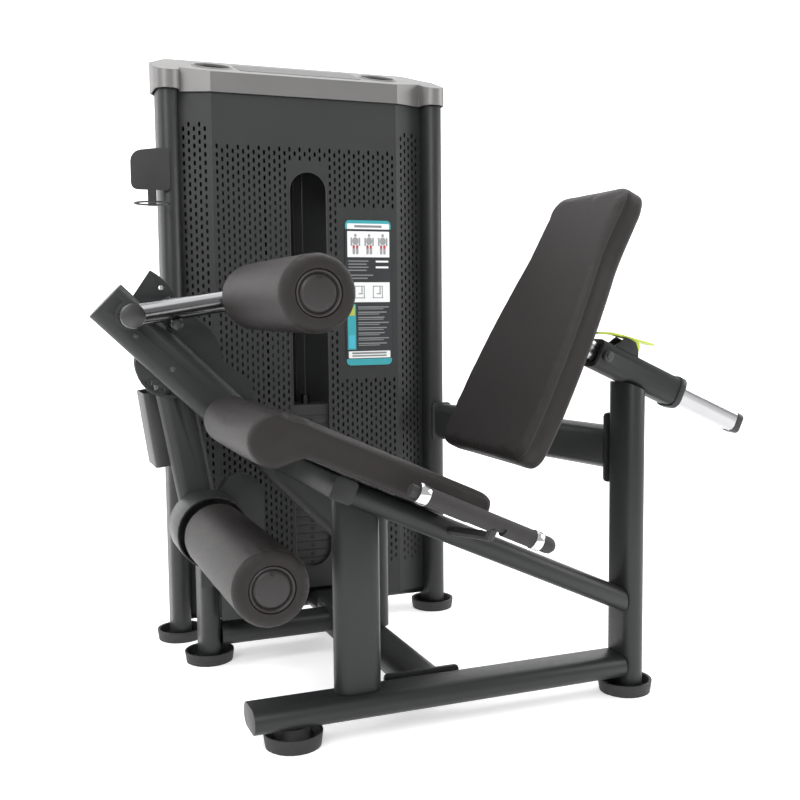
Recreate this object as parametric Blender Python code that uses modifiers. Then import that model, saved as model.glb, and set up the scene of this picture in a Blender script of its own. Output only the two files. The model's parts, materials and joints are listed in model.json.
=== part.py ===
"""Selectorised leg extension machine: weight tower, seat frame and pivoting leg arms.

Metres, +Z up. X runs along the front of the tower, Y away from the seat towards the tower.
Places below are in the seat's own plane (Y = 0) and from the tower's centre (X = 0); the
whole machine hangs from one empty that puts the middle of its footprint at the origin.
Blender 4.5: blender --background --python part.py
"""
import math

import bmesh
import bpy
from mathutils import Matrix, Vector

# ---------------------------------------------------------------- driving dimensions
FOOTPRINT_CENTRE = (0.10335, 0.33825)
GAP = 0.0003                    # left between pieces that touch
RUNNING = 0.00008               # radial play of a turning fit, between faceted rounds

OVAL_WIDE = 0.100               # flat-oval frame tube
OVAL_THIN = 0.050
WALL = 0.003

# weight tower
TOWER_HALF = 0.369              # post centre from the tower's middle
TOWER_Y = 0.795
POST_TOP = 1.4417
FOOT_SEAT = 0.0053              # height of a post's end inside its cup foot
SHROUD_FRONT_Y = 0.765
SHROUD_FOLD_X = 0.257
SHROUD_EDGE = (0.343, 0.797)
SHROUD_BOTTOM = 0.063
REAR_SHEET = ((0.369, 0.8467), (0.310, 0.9365))     # half of the rear sheet's plan
SHEET = 0.002
SLOT_HALF = 0.0515
SLOT_BOTTOM = 0.164
SLOT_TOP = 1.247
STACK_Y = 0.825
STACK_BOTTOM = 0.163
PLATE_SIZE = (0.290, 0.100)
PLATE_PITCH = 0.0235
PLATE_COUNT = 18
LIFTED_COUNT = 5                # plates above the selector pin at rest
ROD_X = 0.095
ROD_RADIUS = 0.0125
STEM_RADIUS = 0.0125
STEM_TOP = 0.640

# cable and pulleys
CABLE_RADIUS = 0.003
PULLEY_RADIUS = 0.045           # to the cable's middle
TOP_PULLEY = (0.0, 0.870, 1.330)
REAR_PULLEY = (-0.045, 0.915, 0.205)
TURN_PULLEY = (-0.205, 0.870, 0.160)
CABLE_X = -0.250                # cable's forward run out of the tower
CABLE_Z = 0.160
WHEEL_Y = 0.5225
WHEEL_RADIUS = 0.065

# seat frame, every slope square or parallel to the seat
SLOPE = math.radians(24.5)
FLOOR_BEAM_Z = 0.068
MAIN_POST_X = -0.139
REAR_POST_X = 0.510
JOIN_TUBE_X = -0.184
RAIL_LEVEL = 0.4410             # height of a sloping line where it crosses X = 0
PAD_LEVEL = 0.547
SLIDE_LEVEL = 0.9690
SEAT_HALF_WIDTH = 0.210
CROSS_MEMBER_X = 0.032
SIDE_LEG = (-0.333, 0.582)
BRACE_Z = 0.556                 # side brace between the tower and the rear post

# support beam and the pivots on it
BEAM_SLOPE = math.radians(44.4)
BEAM_Y = 0.405
BEAM_TIP = (-0.575, 0.901)
KNEE = (-0.431, 0.757)
THIGH_PIVOT = (-0.528, 0.868)
ANKLE = (-0.362, 0.376)
THIGH_ROLL = (-0.265, 0.908)
ROLL_NEAR_Y = -0.190
ROLL_FAR_Y = 0.316
ROLL_RADIUS = 0.075
ARM_Y = 0.4725
ARM_DEPTH = 0.045
THIGH_ARM_Y = 0.350
SHAFT_RADIUS = 0.015
START_HOLE_RADIUS = 0.066
THIGH_HOLE_RADIUS = 0.100
THIGH_PIN_ANGLE = math.radians(-12)

ALONG = Vector((math.cos(SLOPE), 0, -math.sin(SLOPE)))
UP = Vector((math.sin(SLOPE), 0, math.cos(SLOPE)))
BEAM_ALONG = Vector((math.cos(BEAM_SLOPE), 0, -math.sin(BEAM_SLOPE)))
BEAM_UP = Vector((math.sin(BEAM_SLOPE), 0, math.cos(BEAM_SLOPE)))
X_AXIS = Vector((1, 0, 0))
Y_AXIS = Vector((0, 1, 0))
Z_AXIS = Vector((0, 0, 1))

# ---------------------------------------------------------------- scene and materials
for leftover in list(bpy.data.objects):
    bpy.data.objects.remove(leftover, do_unlink=True)

PARTS = bpy.data.collections.new("leg_extension_machine")
CUTTERS = bpy.data.collections.new("cutters")
bpy.context.scene.collection.children.link(PARTS)
bpy.context.scene.collection.children.link(CUTTERS)

MACHINE = bpy.data.objects.new("machine_origin", None)
MACHINE.location = (-FOOTPRINT_CENTRE[0], -FOOTPRINT_CENTRE[1], 0)
PARTS.objects.link(MACHINE)

FINISHES = {
    "frame": ((0.060, 0.062, 0.064), 0.45, 0.3),
    "cap": ((0.52, 0.51, 0.51), 0.35, 0.7),
    "sheet": ((0.055, 0.056, 0.058), 0.5, 0.3),
    "chrome": ((0.80, 0.80, 0.80), 0.12, 1.0),
    "steel": ((0.45, 0.45, 0.46), 0.35, 1.0),
    "iron": ((0.04, 0.04, 0.042), 0.5, 0.4),
    "vinyl": ((0.070, 0.056, 0.053), 0.5, 0.0),
    "rubber": ((0.025, 0.025, 0.026), 0.7, 0.0),
    "plastic": ((0.035, 0.035, 0.036), 0.45, 0.0),
    "lever": ((0.62, 0.72, 0.12), 0.4, 0.0),
    "placard": ((0.10, 0.50, 0.52), 0.4, 0.0),
}


def material_for(name, finish):
    """One Principled material for each sub-part."""
    colour, roughness, metallic = FINISHES[finish]
    material = bpy.data.materials.new(name)
    material.use_nodes = True
    shader = material.node_tree.nodes["Principled BSDF"]
    shader.inputs["Base Color"].default_value = (*colour, 1)
    shader.inputs["Roughness"].default_value = roughness
    shader.inputs["Metallic"].default_value = metallic
    return material


# ---------------------------------------------------------------- outlines in a plane
def arc(centre, radius, start, end, count):
    """Points from angle start to end in degrees, ends included."""
    angles = [math.radians(start + (end - start) * i / count) for i in range(count + 1)]
    return [(centre[0] + radius * math.cos(a), centre[1] + radius * math.sin(a)) for a in angles]


def rounded_rectangle(width, height, radius, count=3, centre=(0, 0)):
    x, y = width / 2 - radius, height / 2 - radius
    corners = (((x, y), 0), ((-x, y), 90), ((-x, -y), 180), ((x, -y), 270))
    points = []
    for corner, start in corners:
        place = (corner[0] + centre[0], corner[1] + centre[1])
        points += arc(place, radius, start, start + 90, count)
    return points


def flat_oval(width, height, count=8):
    """Two half circles joined by straight sides, longest along the first axis."""
    radius = height / 2
    offset = width / 2 - radius
    return arc((offset, 0), radius, -90, 90, count) + arc((-offset, 0), radius, 90, 270, count)


def circle(radius, count=16, centre=(0, 0)):
    return arc(centre, radius, 0, 360 - 360 / count, count - 1)


# ---------------------------------------------------------------- meshes
def evaluated_mesh(data, modifier=None):
    """The mesh that Blender makes of a curve or mesh, its loose seams welded."""
    holder = bpy.data.objects.new("holder", data)
    PARTS.objects.link(holder)
    if modifier:
        modifier(holder)
    graph = bpy.context.evaluated_depsgraph_get()
    mesh = bpy.data.meshes.new_from_object(holder.evaluated_get(graph))
    bpy.data.objects.remove(holder, do_unlink=True)
    work = bmesh.new()
    work.from_mesh(mesh)
    bmesh.ops.remove_doubles(work, verts=work.verts, dist=0.00001)
    bmesh.ops.recalc_face_normals(work, faces=work.faces)
    work.to_mesh(mesh)
    work.free()
    return mesh


def slab(loops, depth):
    """A flat outline with its holes, given a thickness along local Z."""
    curve = bpy.data.curves.new("outline", "CURVE")
    curve.dimensions = "2D"
    curve.fill_mode = "BOTH"
    curve.extrude = depth / 2
    for loop in loops:
        spline = curve.splines.new("POLY")
        spline.points.add(len(loop) - 1)
        for point, (x, y) in zip(spline.points, loop):
            point.co = (x, y, 0, 1)
        spline.use_cyclic_u = True
    return evaluated_mesh(curve)


def pipe(points, radius, resolution=2):
    """A round rod or tube along a path of points."""
    curve = bpy.data.curves.new("path", "CURVE")
    curve.dimensions = "3D"
    curve.bevel_depth = radius
    curve.bevel_resolution = resolution
    curve.use_fill_caps = True
    spline = curve.splines.new("POLY")
    spline.points.add(len(points) - 1)
    for point, place in zip(spline.points, points):
        point.co = (*place, 1)
    return evaluated_mesh(curve)


def turned(profile, steps=24):
    """A closed (radius, height) profile turned about local Z."""
    mesh = bpy.data.meshes.new("profile")
    vertices = [(radius, 0, height) for radius, height in profile]
    closed = all(radius > 0 for radius, _ in profile)
    edges = [(i, i + 1) for i in range(len(profile) - 1)]
    if closed:
        edges.append((len(profile) - 1, 0))
    mesh.from_pydata(vertices, edges, [])

    def screw(holder):
        modifier = holder.modifiers.new("turn", "SCREW")
        modifier.steps = steps
        modifier.render_steps = steps
        modifier.use_merge_vertices = True
        modifier.merge_threshold = 0.0001
    return evaluated_mesh(mesh, screw)


def cylinder(radius, length, count=16):
    return slab([circle(radius, count)], length)


def ring(outer, inner, length, count=16):
    return slab([circle(outer, count), circle(inner, count)], length)


def box(x, y, z):
    work = bmesh.new()
    bmesh.ops.create_cube(work, size=1)
    bmesh.ops.scale(work, vec=(x, y, z), verts=work.verts)
    mesh = bpy.data.meshes.new("box")
    work.to_mesh(mesh)
    work.free()
    return mesh


# ---------------------------------------------------------------- placing
def frame_at(place, direction, wide=None):
    """Matrix with local Z along direction and local X as near to wide as it can be."""
    z = Vector(direction).normalized()
    guess = Vector(wide) if wide is not None else (X_AXIS if abs(z.x) < 0.9 else Z_AXIS)
    y = z.cross(guess).normalized()
    x = y.cross(z)
    matrix = Matrix((x, y, z)).transposed().to_4x4()
    matrix.translation = Vector(place)
    return matrix


def at(x, y, z):
    return Matrix.Translation((x, y, z))


def along_y(x, y, z):
    """Local X to the right, local Y up and local Z towards the viewer at -Y."""
    return frame_at((x, y, z), (0, -1, 0), X_AXIS)


def joined(pieces):
    """Several separate solids as one mesh."""
    work = bmesh.new()
    for mesh, matrix in pieces:
        start = len(work.verts)
        work.from_mesh(mesh)
        work.verts.ensure_lookup_table()
        bmesh.ops.transform(work, matrix=matrix, verts=work.verts[start:])
    result = bpy.data.meshes.new("joined")
    work.to_mesh(result)
    work.free()
    return result


def pivot(name, place, parent=None):
    """An empty on a joint's axis, which carries the pieces that move there."""
    empty = bpy.data.objects.new(name, None)
    empty.matrix_basis = Matrix.Translation(place)
    attach(empty, parent)
    PARTS.objects.link(empty)
    return empty


def attach(item, parent):
    """Parent an item that is already placed in the machine's own frame."""
    item.parent = parent or MACHINE
    item.matrix_parent_inverse = parent.matrix_basis.inverted() if parent else Matrix.Identity(4)


def node(name, mesh, finish, matrix=None, carrier=None, smooth=35):
    """One named sub-part."""
    mesh.name = name
    mesh.materials.clear()
    mesh.materials.append(material_for(name, finish))
    if smooth:
        mesh.shade_smooth()
        mesh.set_sharp_from_angle(angle=math.radians(smooth))
    item = bpy.data.objects.new(name, mesh)
    item.matrix_basis = matrix or Matrix.Identity(4)
    attach(item, carrier)
    PARTS.objects.link(item)
    return item


def combine(item, operation, mesh, matrix):
    """Boolean with a hidden shape placed in the machine's own frame."""
    helper = bpy.data.objects.new(item.name + "_" + operation.lower(), mesh)
    helper.matrix_basis = matrix
    helper.parent = MACHINE
    helper.display_type = "WIRE"
    helper.hide_render = True
    CUTTERS.objects.link(helper)
    modifier = item.modifiers.new(operation.lower(), "BOOLEAN")
    modifier.operation = operation
    modifier.solver = "EXACT"
    modifier.object = helper


def cut(item, mesh, matrix):
    combine(item, "DIFFERENCE", mesh, matrix)


def weld(item, *pieces):
    """Union of an item with the pieces welded or moulded to it, each a (mesh, matrix)."""
    for mesh, matrix in pieces:
        combine(item, "UNION", mesh, matrix)


def trimmed(mesh, matrix, planes):
    """Cut a mesh square to planes, each a (point, outward normal) in the machine's frame."""
    work = bmesh.new()
    work.from_mesh(mesh)
    inverse = matrix.inverted()
    for point, normal in planes:
        local_point = inverse @ Vector(point)
        local_normal = inverse.to_3x3() @ Vector(normal)
        everything = work.verts[:] + work.edges[:] + work.faces[:]
        result = bmesh.ops.bisect_plane(work, geom=everything, dist=0.000001, plane_co=local_point,
                                        plane_no=local_normal, clear_outer=True)
        edges = [item for item in result["geom_cut"] if isinstance(item, bmesh.types.BMEdge)]
        bmesh.ops.triangle_fill(work, edges=edges, use_beauty=True, normal=local_normal)
    bmesh.ops.recalc_face_normals(work, faces=work.faces)
    work.to_mesh(mesh)
    work.free()
    return mesh


def tube_parts(start, end, wide, outline=None, inner=None, planes=()):
    """Mesh and matrix of a hollow tube from start to end."""
    start, end = Vector(start), Vector(end)
    loops = [outline or flat_oval(OVAL_WIDE, OVAL_THIN),
             inner or flat_oval(OVAL_WIDE - 2 * WALL, OVAL_THIN - 2 * WALL)]
    matrix = frame_at((start + end) / 2, end - start, wide)
    return trimmed(slab(loops, (end - start).length), matrix, planes), matrix


def tube(name, start, end, wide, outline=None, inner=None, planes=(), finish="frame"):
    mesh, matrix = tube_parts(start, end, wide, outline, inner, planes)
    return node(name, mesh, finish, matrix)


def rod(start, end, radius, count=16):
    start, end = Vector(start), Vector(end)
    return cylinder(radius, (end - start).length, count), frame_at((start + end) / 2, end - start)


def slope_point(x, level, y=0.0):
    """Point on a line that falls towards the rear at the seat's slope."""
    return Vector((x, y, level - math.tan(SLOPE) * x))


def in_plane(place, y):
    return Vector((place[0], y, place[1]))


# ---------------------------------------------------------------- weight tower
def tower_frame():
    for side, x in (("left", -TOWER_HALF), ("right", TOWER_HALF)):
        tube("tower_post_" + side, (x, TOWER_Y, FOOT_SEAT), (x, TOWER_Y, POST_TOP), Y_AXIS)
    inside = TOWER_HALF - OVAL_THIN / 2 - GAP
    base = tube("tower_base_rail", (-inside, 0.826, 0.088), (inside, 0.826, 0.088), Z_AXIS)
    corner = Vector((REAR_SHEET[0][0], REAR_SHEET[0][1], 0))
    edge = Vector((REAR_SHEET[1][1] - REAR_SHEET[0][1], REAR_SHEET[0][0] - REAR_SHEET[1][0], 0)).normalized()
    inner = corner - edge * (SHEET + 0.001)
    mirror = Vector((-1, 1, 1))
    top = tube("tower_top_rail", (-inside, 0.850, 1.415), (inside, 0.850, 1.415), Y_AXIS,
               planes=[(inner, edge), (inner * mirror, edge * mirror)])
    plate = 0.003
    for side in (-1, 1):
        weld(top, (box(plate, 0.030, 0.0880), at(side * 0.0155, TOP_PULLEY[1], 1.352)))
    weld(top, pulley_axle(Vector(TOP_PULLEY), X_AXIS))
    weld(base, (box(0.330, 0.0980, 0.006), at(-0.125, 0.8825, 0.1312)))
    for side in (-1, 1):
        weld(base, (box(0.030, plate, 0.0905), at(REAR_PULLEY[0], REAR_PULLEY[1] + side * 0.0155, 0.1755)))
    weld(base, pulley_axle(Vector(REAR_PULLEY), Y_AXIS))
    turn = Vector(TURN_PULLEY)
    weld(base, rod(turn - Z_AXIS * 0.0275, turn - Z_AXIS * 0.0105, 0.010, 12))
    weld(base, rod(turn - Z_AXIS * 0.0275, turn + Z_AXIS * 0.0135, 0.006, 12))


def sheet_band(points, thickness):
    """Outline of a folded sheet seen from above: points on its outer face, front to the left."""
    outer = [Vector(point) for point in points]
    inner = []
    for i, point in enumerate(outer):
        before = outer[max(i - 1, 0)]
        after = outer[min(i + 1, len(outer) - 1)]
        edges = [e.normalized() for e in (point - before, after - point) if e.length > 0]
        normals = [Vector((-e.y, e.x)) for e in edges]
        middle = sum(normals, Vector((0, 0))).normalized()
        inner.append(point + middle * thickness / middle.dot(normals[0]))
    return [tuple(p) for p in outer] + [tuple(p) for p in reversed(inner)]


def tower_covers():
    height = POST_TOP - SHROUD_BOTTOM
    fold, (edge_x, edge_y) = SHROUD_FOLD_X, SHROUD_EDGE
    front_path = [(-edge_x, edge_y), (-fold, SHROUD_FRONT_Y), (fold, SHROUD_FRONT_Y), (edge_x, edge_y)]
    front = node("front_shroud", slab([sheet_band(front_path, SHEET)], height), "sheet",
                 at(0, 0, SHROUD_BOTTOM + height / 2))
    slot_height = SLOT_TOP - SLOT_BOTTOM
    slot = slab([flat_oval(slot_height, 2 * SLOT_HALF, 10)], 0.03)
    cut(front, slot, frame_at((0, SHROUD_FRONT_Y, (SLOT_TOP + SLOT_BOTTOM) / 2), Y_AXIS, Z_AXIS))
    cut(front, box(OVAL_WIDE + 0.010, 0.06, 0.090), at(CROSS_MEMBER_X, SHROUD_FRONT_Y, 0.060))
    cut(front, cylinder(0.014, 0.03), frame_at((CABLE_X, SHROUD_FRONT_Y, CABLE_Z), Y_AXIS))

    rear_path = list(REAR_SHEET) + [(-x, y) for x, y in reversed(REAR_SHEET)]
    node("rear_shroud", slab([sheet_band(rear_path, SHEET)], POST_TOP - 0.105), "sheet",
         at(0, 0, (POST_TOP + 0.105) / 2))


def cap_outline(shrink):
    """Plan of the top cap: round over both posts, folded like the front sheet between them."""
    half, front, rear = 0.402 - shrink, 0.770, 0.945 - shrink
    radius = 0.033 - shrink
    right = [(0.259, SHROUD_FRONT_Y - 0.008 + shrink), (0.334, 0.785 + shrink)]
    right += arc((TOWER_HALF, front), radius, 195, 360, 12)
    right += [(half, 0.840), (0.345, rear)]
    return right + [(-x, y) for x, y in reversed(right)]


CAP_BOTTOM = 1.442
CAP_FRONT_TOP = 1.494
CAP_SLOPE = math.radians(19.2)
CUP_X = 0.235
CUP_Y = 0.850


def cap_top(y):
    """Height of the cap's sloping top at a distance from the seat."""
    return CAP_FRONT_TOP + (y - 0.757) * math.tan(CAP_SLOPE)


def top_cap():
    """A thin moulded cover with a sloping top and two round cup wells."""
    skin, cup, well_depth = 0.004, 0.047, 0.048
    planes = [((0, 0.757, CAP_FRONT_TOP), (0, -math.sin(CAP_SLOPE), math.cos(CAP_SLOPE)))]
    place = at(0, 0, CAP_BOTTOM + 0.08)
    body = node("top_cap", trimmed(slab([cap_outline(0)], 0.16), place, planes), "cap", place)
    lower = [((0, 0.757, CAP_FRONT_TOP - skin * 1.1), planes[0][1])]
    low_place = at(0, 0, CAP_BOTTOM + 0.06)
    wells = [circle(cup + skin, 24, (side * CUP_X, CUP_Y)) for side in (-1, 1)]
    cavity = trimmed(slab([cap_outline(skin)] + wells, 0.16), low_place, lower)
    cut(body, cavity, low_place)
    for side in (-1, 1):
        floor = cap_top(CUP_Y) - well_depth
        cut(body, cylinder(cup, 0.2, 24), at(side * CUP_X, CUP_Y, floor + 0.1))


def plate_stack(name, count, first, extra, carrier=None):
    """Cast plates lying on each other, drawn as one block with a groove at every joint."""
    outline = rounded_rectangle(*PLATE_SIZE, 0.006, 1)
    holes = [circle(ROD_RADIUS + 0.001, 10, (side * ROD_X, 0)) for side in (-1, 1)]
    holes.append(circle(STEM_RADIUS + 0.0011, 10))
    height = PLATE_PITCH * count + extra - GAP
    bottom = STACK_BOTTOM + PLATE_PITCH * first
    stack = node(name, slab([outline] + holes, height), "iron", at(0, STACK_Y, bottom + height / 2), carrier)
    inner = rounded_rectangle(PLATE_SIZE[0] - 0.005, PLATE_SIZE[1] - 0.005, 0.004, 1)
    wide = rounded_rectangle(PLATE_SIZE[0] + 0.01, PLATE_SIZE[1] + 0.01, 0.004, 1)
    grooves = [(slab([wide, inner], 0.0014), at(0, STACK_Y, bottom + PLATE_PITCH * i))
               for i in range(1, count + (1 if extra else 0))]
    cut(stack, joined(grooves), Matrix.Identity(4))
    return stack


def weight_stack(lift):
    split = PLATE_COUNT - LIFTED_COUNT
    plate_stack("weight_plates_lower", split, 0, 0.0)
    upper = plate_stack("weight_plates_upper", LIFTED_COUNT, split, 0.030, lift)
    pin_z = STACK_BOTTOM + PLATE_PITCH * (split + 0.5)
    front = STACK_Y - PLATE_SIZE[1] / 2
    cut(upper, cylinder(0.0055, 0.080, 10), frame_at((0, front + 0.030, pin_z), Y_AXIS))
    stem = node("selector_stem", cylinder(STEM_RADIUS, STEM_TOP - 0.170), "steel",
                at(0, STACK_Y, (STEM_TOP + 0.170) / 2), lift)
    cut(stem, cylinder(0.0055, 0.060, 10), frame_at((0, STACK_Y, pin_z), Y_AXIS))

    pin_carrier = pivot("selector_pin_axis", (0, front, pin_z), lift)
    knob = turned([(0, 0.016), (0.010, 0.015), (0.016, 0.009), (0.016, -0.009), (0.011, -0.016), (0, -0.016)], 16)
    pin = node("selector_pin", knob, "plastic", frame_at((0, front - 0.0686, pin_z), -Y_AXIS), pin_carrier)
    weld(pin, rod((0, front - 0.060, pin_z), (0, STACK_Y + 0.012, pin_z), 0.0048, 10))

    for side, name in ((-1, "left"), (1, "right")):
        mesh, matrix = rod((side * ROD_X, STACK_Y, 0.1383), (side * ROD_X, STACK_Y, 1.3897), ROD_RADIUS)
        node("guide_rod_" + name, mesh, "chrome", matrix)


def foot_profile():
    """An open cup foot: base disc, flared wall and rolled rim."""
    return [(0, 0.005), (0.0516, 0.005), (0.0550, 0.0270), (0.0612, 0.0280),
            (0.0612, 0.0240), (0.0575, 0.0), (0, 0.0)]


def feet():
    spots = {"foot_left": (-TOWER_HALF, TOWER_Y), "foot_right": (TOWER_HALF, TOWER_Y),
             "foot_side": SIDE_LEG, "foot_rear": (REAR_POST_X, 0)}
    for name, (x, y) in spots.items():
        node(name, turned(foot_profile(), 24), "rubber", at(x, y, 0))
    beam_foot = [(0, 0.0427), (0.034, 0.0427), (0.040, 0.012), (0.0516, 0.012), (0.0550, 0.0300),
                 (0.0612, 0.0310), (0.0612, 0.0270), (0.0575, 0.0), (0, 0.0)]
    node("foot_front", turned(beam_foot, 24), "rubber", at(-0.278, 0, 0))


def tower_trim():
    half_w, half_h = 0.049, 0.054
    outline = arc((half_w - 0.012, half_h - 0.012), 0.012, 0, 90, 3)
    outline += arc((-half_w + 0.030, half_h - 0.038), 0.030, 100, 180, 4)
    outline += arc((-half_w + 0.016, -half_h + 0.016), 0.016, 180, 270, 3)
    outline += arc((half_w - 0.008, -half_h + 0.008), 0.008, 270, 360, 2)
    side = -TOWER_HALF - OVAL_THIN / 2
    holder = node("phone_holder", slab([outline], 0.004), "plastic", along_y(side - 0.027, 0.7400, 1.238))
    rim = turned([(0.039, 0.002), (0.045, 0.002), (0.045, -0.002), (0.039, -0.002)], 24)
    weld(holder, (rim, at(side - 0.031, 0.6950, 1.146)),
         (box(0.022, 0.004, 0.060), at(side - 0.024, 0.7400, 1.1735)),
         (box(0.030, 0.058, 0.040), at(side - 0.0153, 0.7680, 1.238)))
    node("placard", slab([rounded_rectangle(0.134, 0.400, 0.012, 3)], 0.002), "placard",
         along_y(0.1705, SHROUD_FRONT_Y - 0.0013, 0.921))


# ---------------------------------------------------------------- cable and pulleys
def cable_lean():
    """Lean of the cable from the front pulley to the wheel on the knee shaft."""
    across, rise = CABLE_X - KNEE[0], KNEE[1] - CABLE_Z
    reach = math.hypot(across, rise)
    return math.atan2(across, rise) + math.asin(WHEEL_RADIUS / reach)


def front_pulley_centre():
    lean = cable_lean()
    return Vector((CABLE_X - PULLEY_RADIUS * math.sin(lean), WHEEL_Y + PULLEY_RADIUS,
                   CABLE_Z + PULLEY_RADIUS * math.cos(lean)))


def pulley_profile(radius, half, bore):
    groove = radius - 0.0035
    rim = radius + 0.005
    return [(bore, half), (rim, half), (groove, 0.002), (groove, -0.002), (rim, -half), (bore, -half)]


def bend(centre, start, end, count=8):
    """Quarter turn of the cable round a centre, from one point on it to another."""
    a, b = Vector(start) - Vector(centre), Vector(end) - Vector(centre)
    return [Vector(centre) + a * math.cos(t) + b * math.sin(t)
            for t in (math.pi / 2 * i / count for i in range(count + 1))]


def cable():
    r = PULLEY_RADIUS
    top, rear, turn = Vector(TOP_PULLEY), Vector(REAR_PULLEY), Vector(TURN_PULLEY)
    front = front_pulley_centre()
    lean = cable_lean()
    rising = Vector((-math.sin(lean), 0, math.cos(lean)))
    wheel = in_plane(KNEE, WHEEL_Y)
    leave = wheel + Vector((-math.cos(lean), 0, -math.sin(lean))) * WHEEL_RADIUS
    route = [top - Y_AXIS * r - Z_AXIS * 0.02]
    route += bend(top, top - Y_AXIS * r, top + Z_AXIS * r)[:-1] + bend(top, top + Z_AXIS * r, top + Y_AXIS * r)
    route += bend(rear, rear + X_AXIS * r, rear - Z_AXIS * r)
    route += bend(turn, turn + Y_AXIS * r, turn - X_AXIS * r)
    route += bend(front, front - rising * r, front - Y_AXIS * r)
    turns = 10
    start = math.atan2(leave.z - wheel.z, leave.x - wheel.x)
    for i in range(turns + 1):
        angle = start - math.radians(120) * i / turns
        route.append(wheel + Vector((math.cos(angle), 0, math.sin(angle))) * WHEEL_RADIUS)
    node("drive_cable", pipe(route, CABLE_RADIUS, 1), "plastic")
    low = Vector((0, STACK_Y, STEM_TOP + GAP))
    node("stack_cable", pipe([low, route[0] - Z_AXIS * GAP], CABLE_RADIUS, 1), "plastic")


def pulley_axle(spot, axis):
    return rod(spot - axis * 0.0155, spot + axis * 0.0155, 0.006, 12)


def pulleys():
    bore = 0.006 + RUNNING
    lean = cable_lean()
    spots = {"top_pulley": (Vector(TOP_PULLEY), X_AXIS), "rear_pulley": (Vector(REAR_PULLEY), Y_AXIS),
             "turn_pulley": (Vector(TURN_PULLEY), Z_AXIS),
             "front_pulley": (front_pulley_centre(), Vector((math.cos(lean), 0, math.sin(lean))))}
    for name, (spot, axis) in spots.items():
        wheel = turned(pulley_profile(PULLEY_RADIUS, 0.010, bore), 24)
        node(name, wheel, "plastic", frame_at(spot, axis), pivot(name + "_axis", spot))


# ---------------------------------------------------------------- seat frame
def lower_frame():
    half = OVAL_THIN / 2
    edge = OVAL_WIDE / 2
    flange = 0.008
    plug = slab([flat_oval(OVAL_WIDE, OVAL_THIN)], 0.004)
    floor = tube("floor_beam", (-0.365, 0, FLOOR_BEAM_Z), (REAR_POST_X - half - GAP, 0, FLOOR_BEAM_Z), Y_AXIS)
    weld(floor, (plug, frame_at((-0.3655, 0, FLOOR_BEAM_Z), X_AXIS, Y_AXIS)))
    rail_under = slope_point(MAIN_POST_X, RAIL_LEVEL) - UP * (half + GAP)
    tube("main_post", (MAIN_POST_X, 0, FLOOR_BEAM_Z + half + GAP), (MAIN_POST_X, 0, 0.56), X_AXIS,
         planes=[(rail_under, UP)])
    sleeve_under = slope_point(REAR_POST_X, SLIDE_LEVEL) - UP * (0.033 + GAP)
    tube("rear_post", (REAR_POST_X, 0, FOOT_SEAT), (REAR_POST_X, 0, 0.74), Y_AXIS,
         planes=[(sleeve_under, UP)])
    start = slope_point(JOIN_TUBE_X, RAIL_LEVEL) + ALONG * (half + GAP)
    tube("seat_rail", start, slope_point(REAR_POST_X + 0.03, RAIL_LEVEL), Y_AXIS,
         planes=[((REAR_POST_X - half - GAP, 0, 0), X_AXIS)])
    centre = slope_point(JOIN_TUBE_X, RAIL_LEVEL)
    square = rounded_rectangle(0.050, 0.050, 0.007, 2)
    joint = tube("join_tube", centre - Y_AXIS * 0.065, centre + Y_AXIS * (BEAM_Y - half - GAP), ALONG,
                 square, rounded_rectangle(0.044, 0.044, 0.004, 2))
    weld(joint, (slab([square], 0.004), frame_at(centre - Y_AXIS * 0.0660, Y_AXIS, ALONG)))
    slant = Vector((math.sin(BEAM_SLOPE), 0, math.cos(BEAM_SLOPE)))
    tube("beam_post", (CROSS_MEMBER_X, BEAM_Y, FLOOR_BEAM_Z + half + GAP), (CROSS_MEMBER_X, BEAM_Y, 0.56),
         X_AXIS, planes=[((CROSS_MEMBER_X, BEAM_Y, 0.422), slant)])

    across = tube("cross_member", (CROSS_MEMBER_X, edge + GAP + 0.004, FLOOR_BEAM_Z),
                  (CROSS_MEMBER_X, 0.8007, FLOOR_BEAM_Z), X_AXIS)
    weld(across, (slab([rounded_rectangle(0.175, 0.056, 0.008, 2)], flange),
                  frame_at((CROSS_MEMBER_X - 0.005, edge + GAP + flange / 2, 0.0690), Y_AXIS, X_AXIS)))
    side_face = CROSS_MEMBER_X - edge - GAP
    base = tube("base_tube", (SIDE_LEG[0] + half + GAP, SIDE_LEG[1], FLOOR_BEAM_Z),
                (side_face - 0.004, SIDE_LEG[1], FLOOR_BEAM_Z), Y_AXIS)
    weld(base, (slab([rounded_rectangle(0.140, 0.080, 0.010, 2)], flange),
                frame_at((side_face - flange / 2, SIDE_LEG[1], 0.073), X_AXIS, Y_AXIS)))
    centre, lean = front_pulley_centre(), cable_lean()
    axis = Vector((math.cos(lean), 0, math.sin(lean)))
    rising = Vector((-math.sin(lean), 0, math.cos(lean)))
    for side in (-1, 1):
        place = frame_at(centre + axis * side * 0.0155 - rising * 0.060, axis, Y_AXIS)
        weld(base, (trimmed(box(0.030, 0.150, 0.003), place, [((0, 0, 0.090), (0, 0, -1))]), place))
    weld(base, pulley_axle(centre, axis))

    brace = tube("side_brace",
                 (TOWER_HALF + 0.012, TOWER_Y - 0.050, BRACE_Z), (REAR_POST_X - 0.002, 0.045, BRACE_Z),
                 Z_AXIS, planes=[((0, TOWER_Y - edge - GAP - 0.004, 0), Y_AXIS),
                                 ((0, edge + GAP + 0.004, 0), -Y_AXIS)])
    for x, y, tall in ((REAR_POST_X + 0.003, edge + GAP + flange / 2, 0.160),
                       (TOWER_HALF + 0.009, TOWER_Y - edge - GAP - flange / 2, 0.106)):
        weld(brace, (slab([rounded_rectangle(0.056, tall, 0.008, 2), circle(0.012)], flange),
                     frame_at((x, y, BRACE_Z), Y_AXIS, X_AXIS)))


LEG_BEND = 0.430


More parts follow.
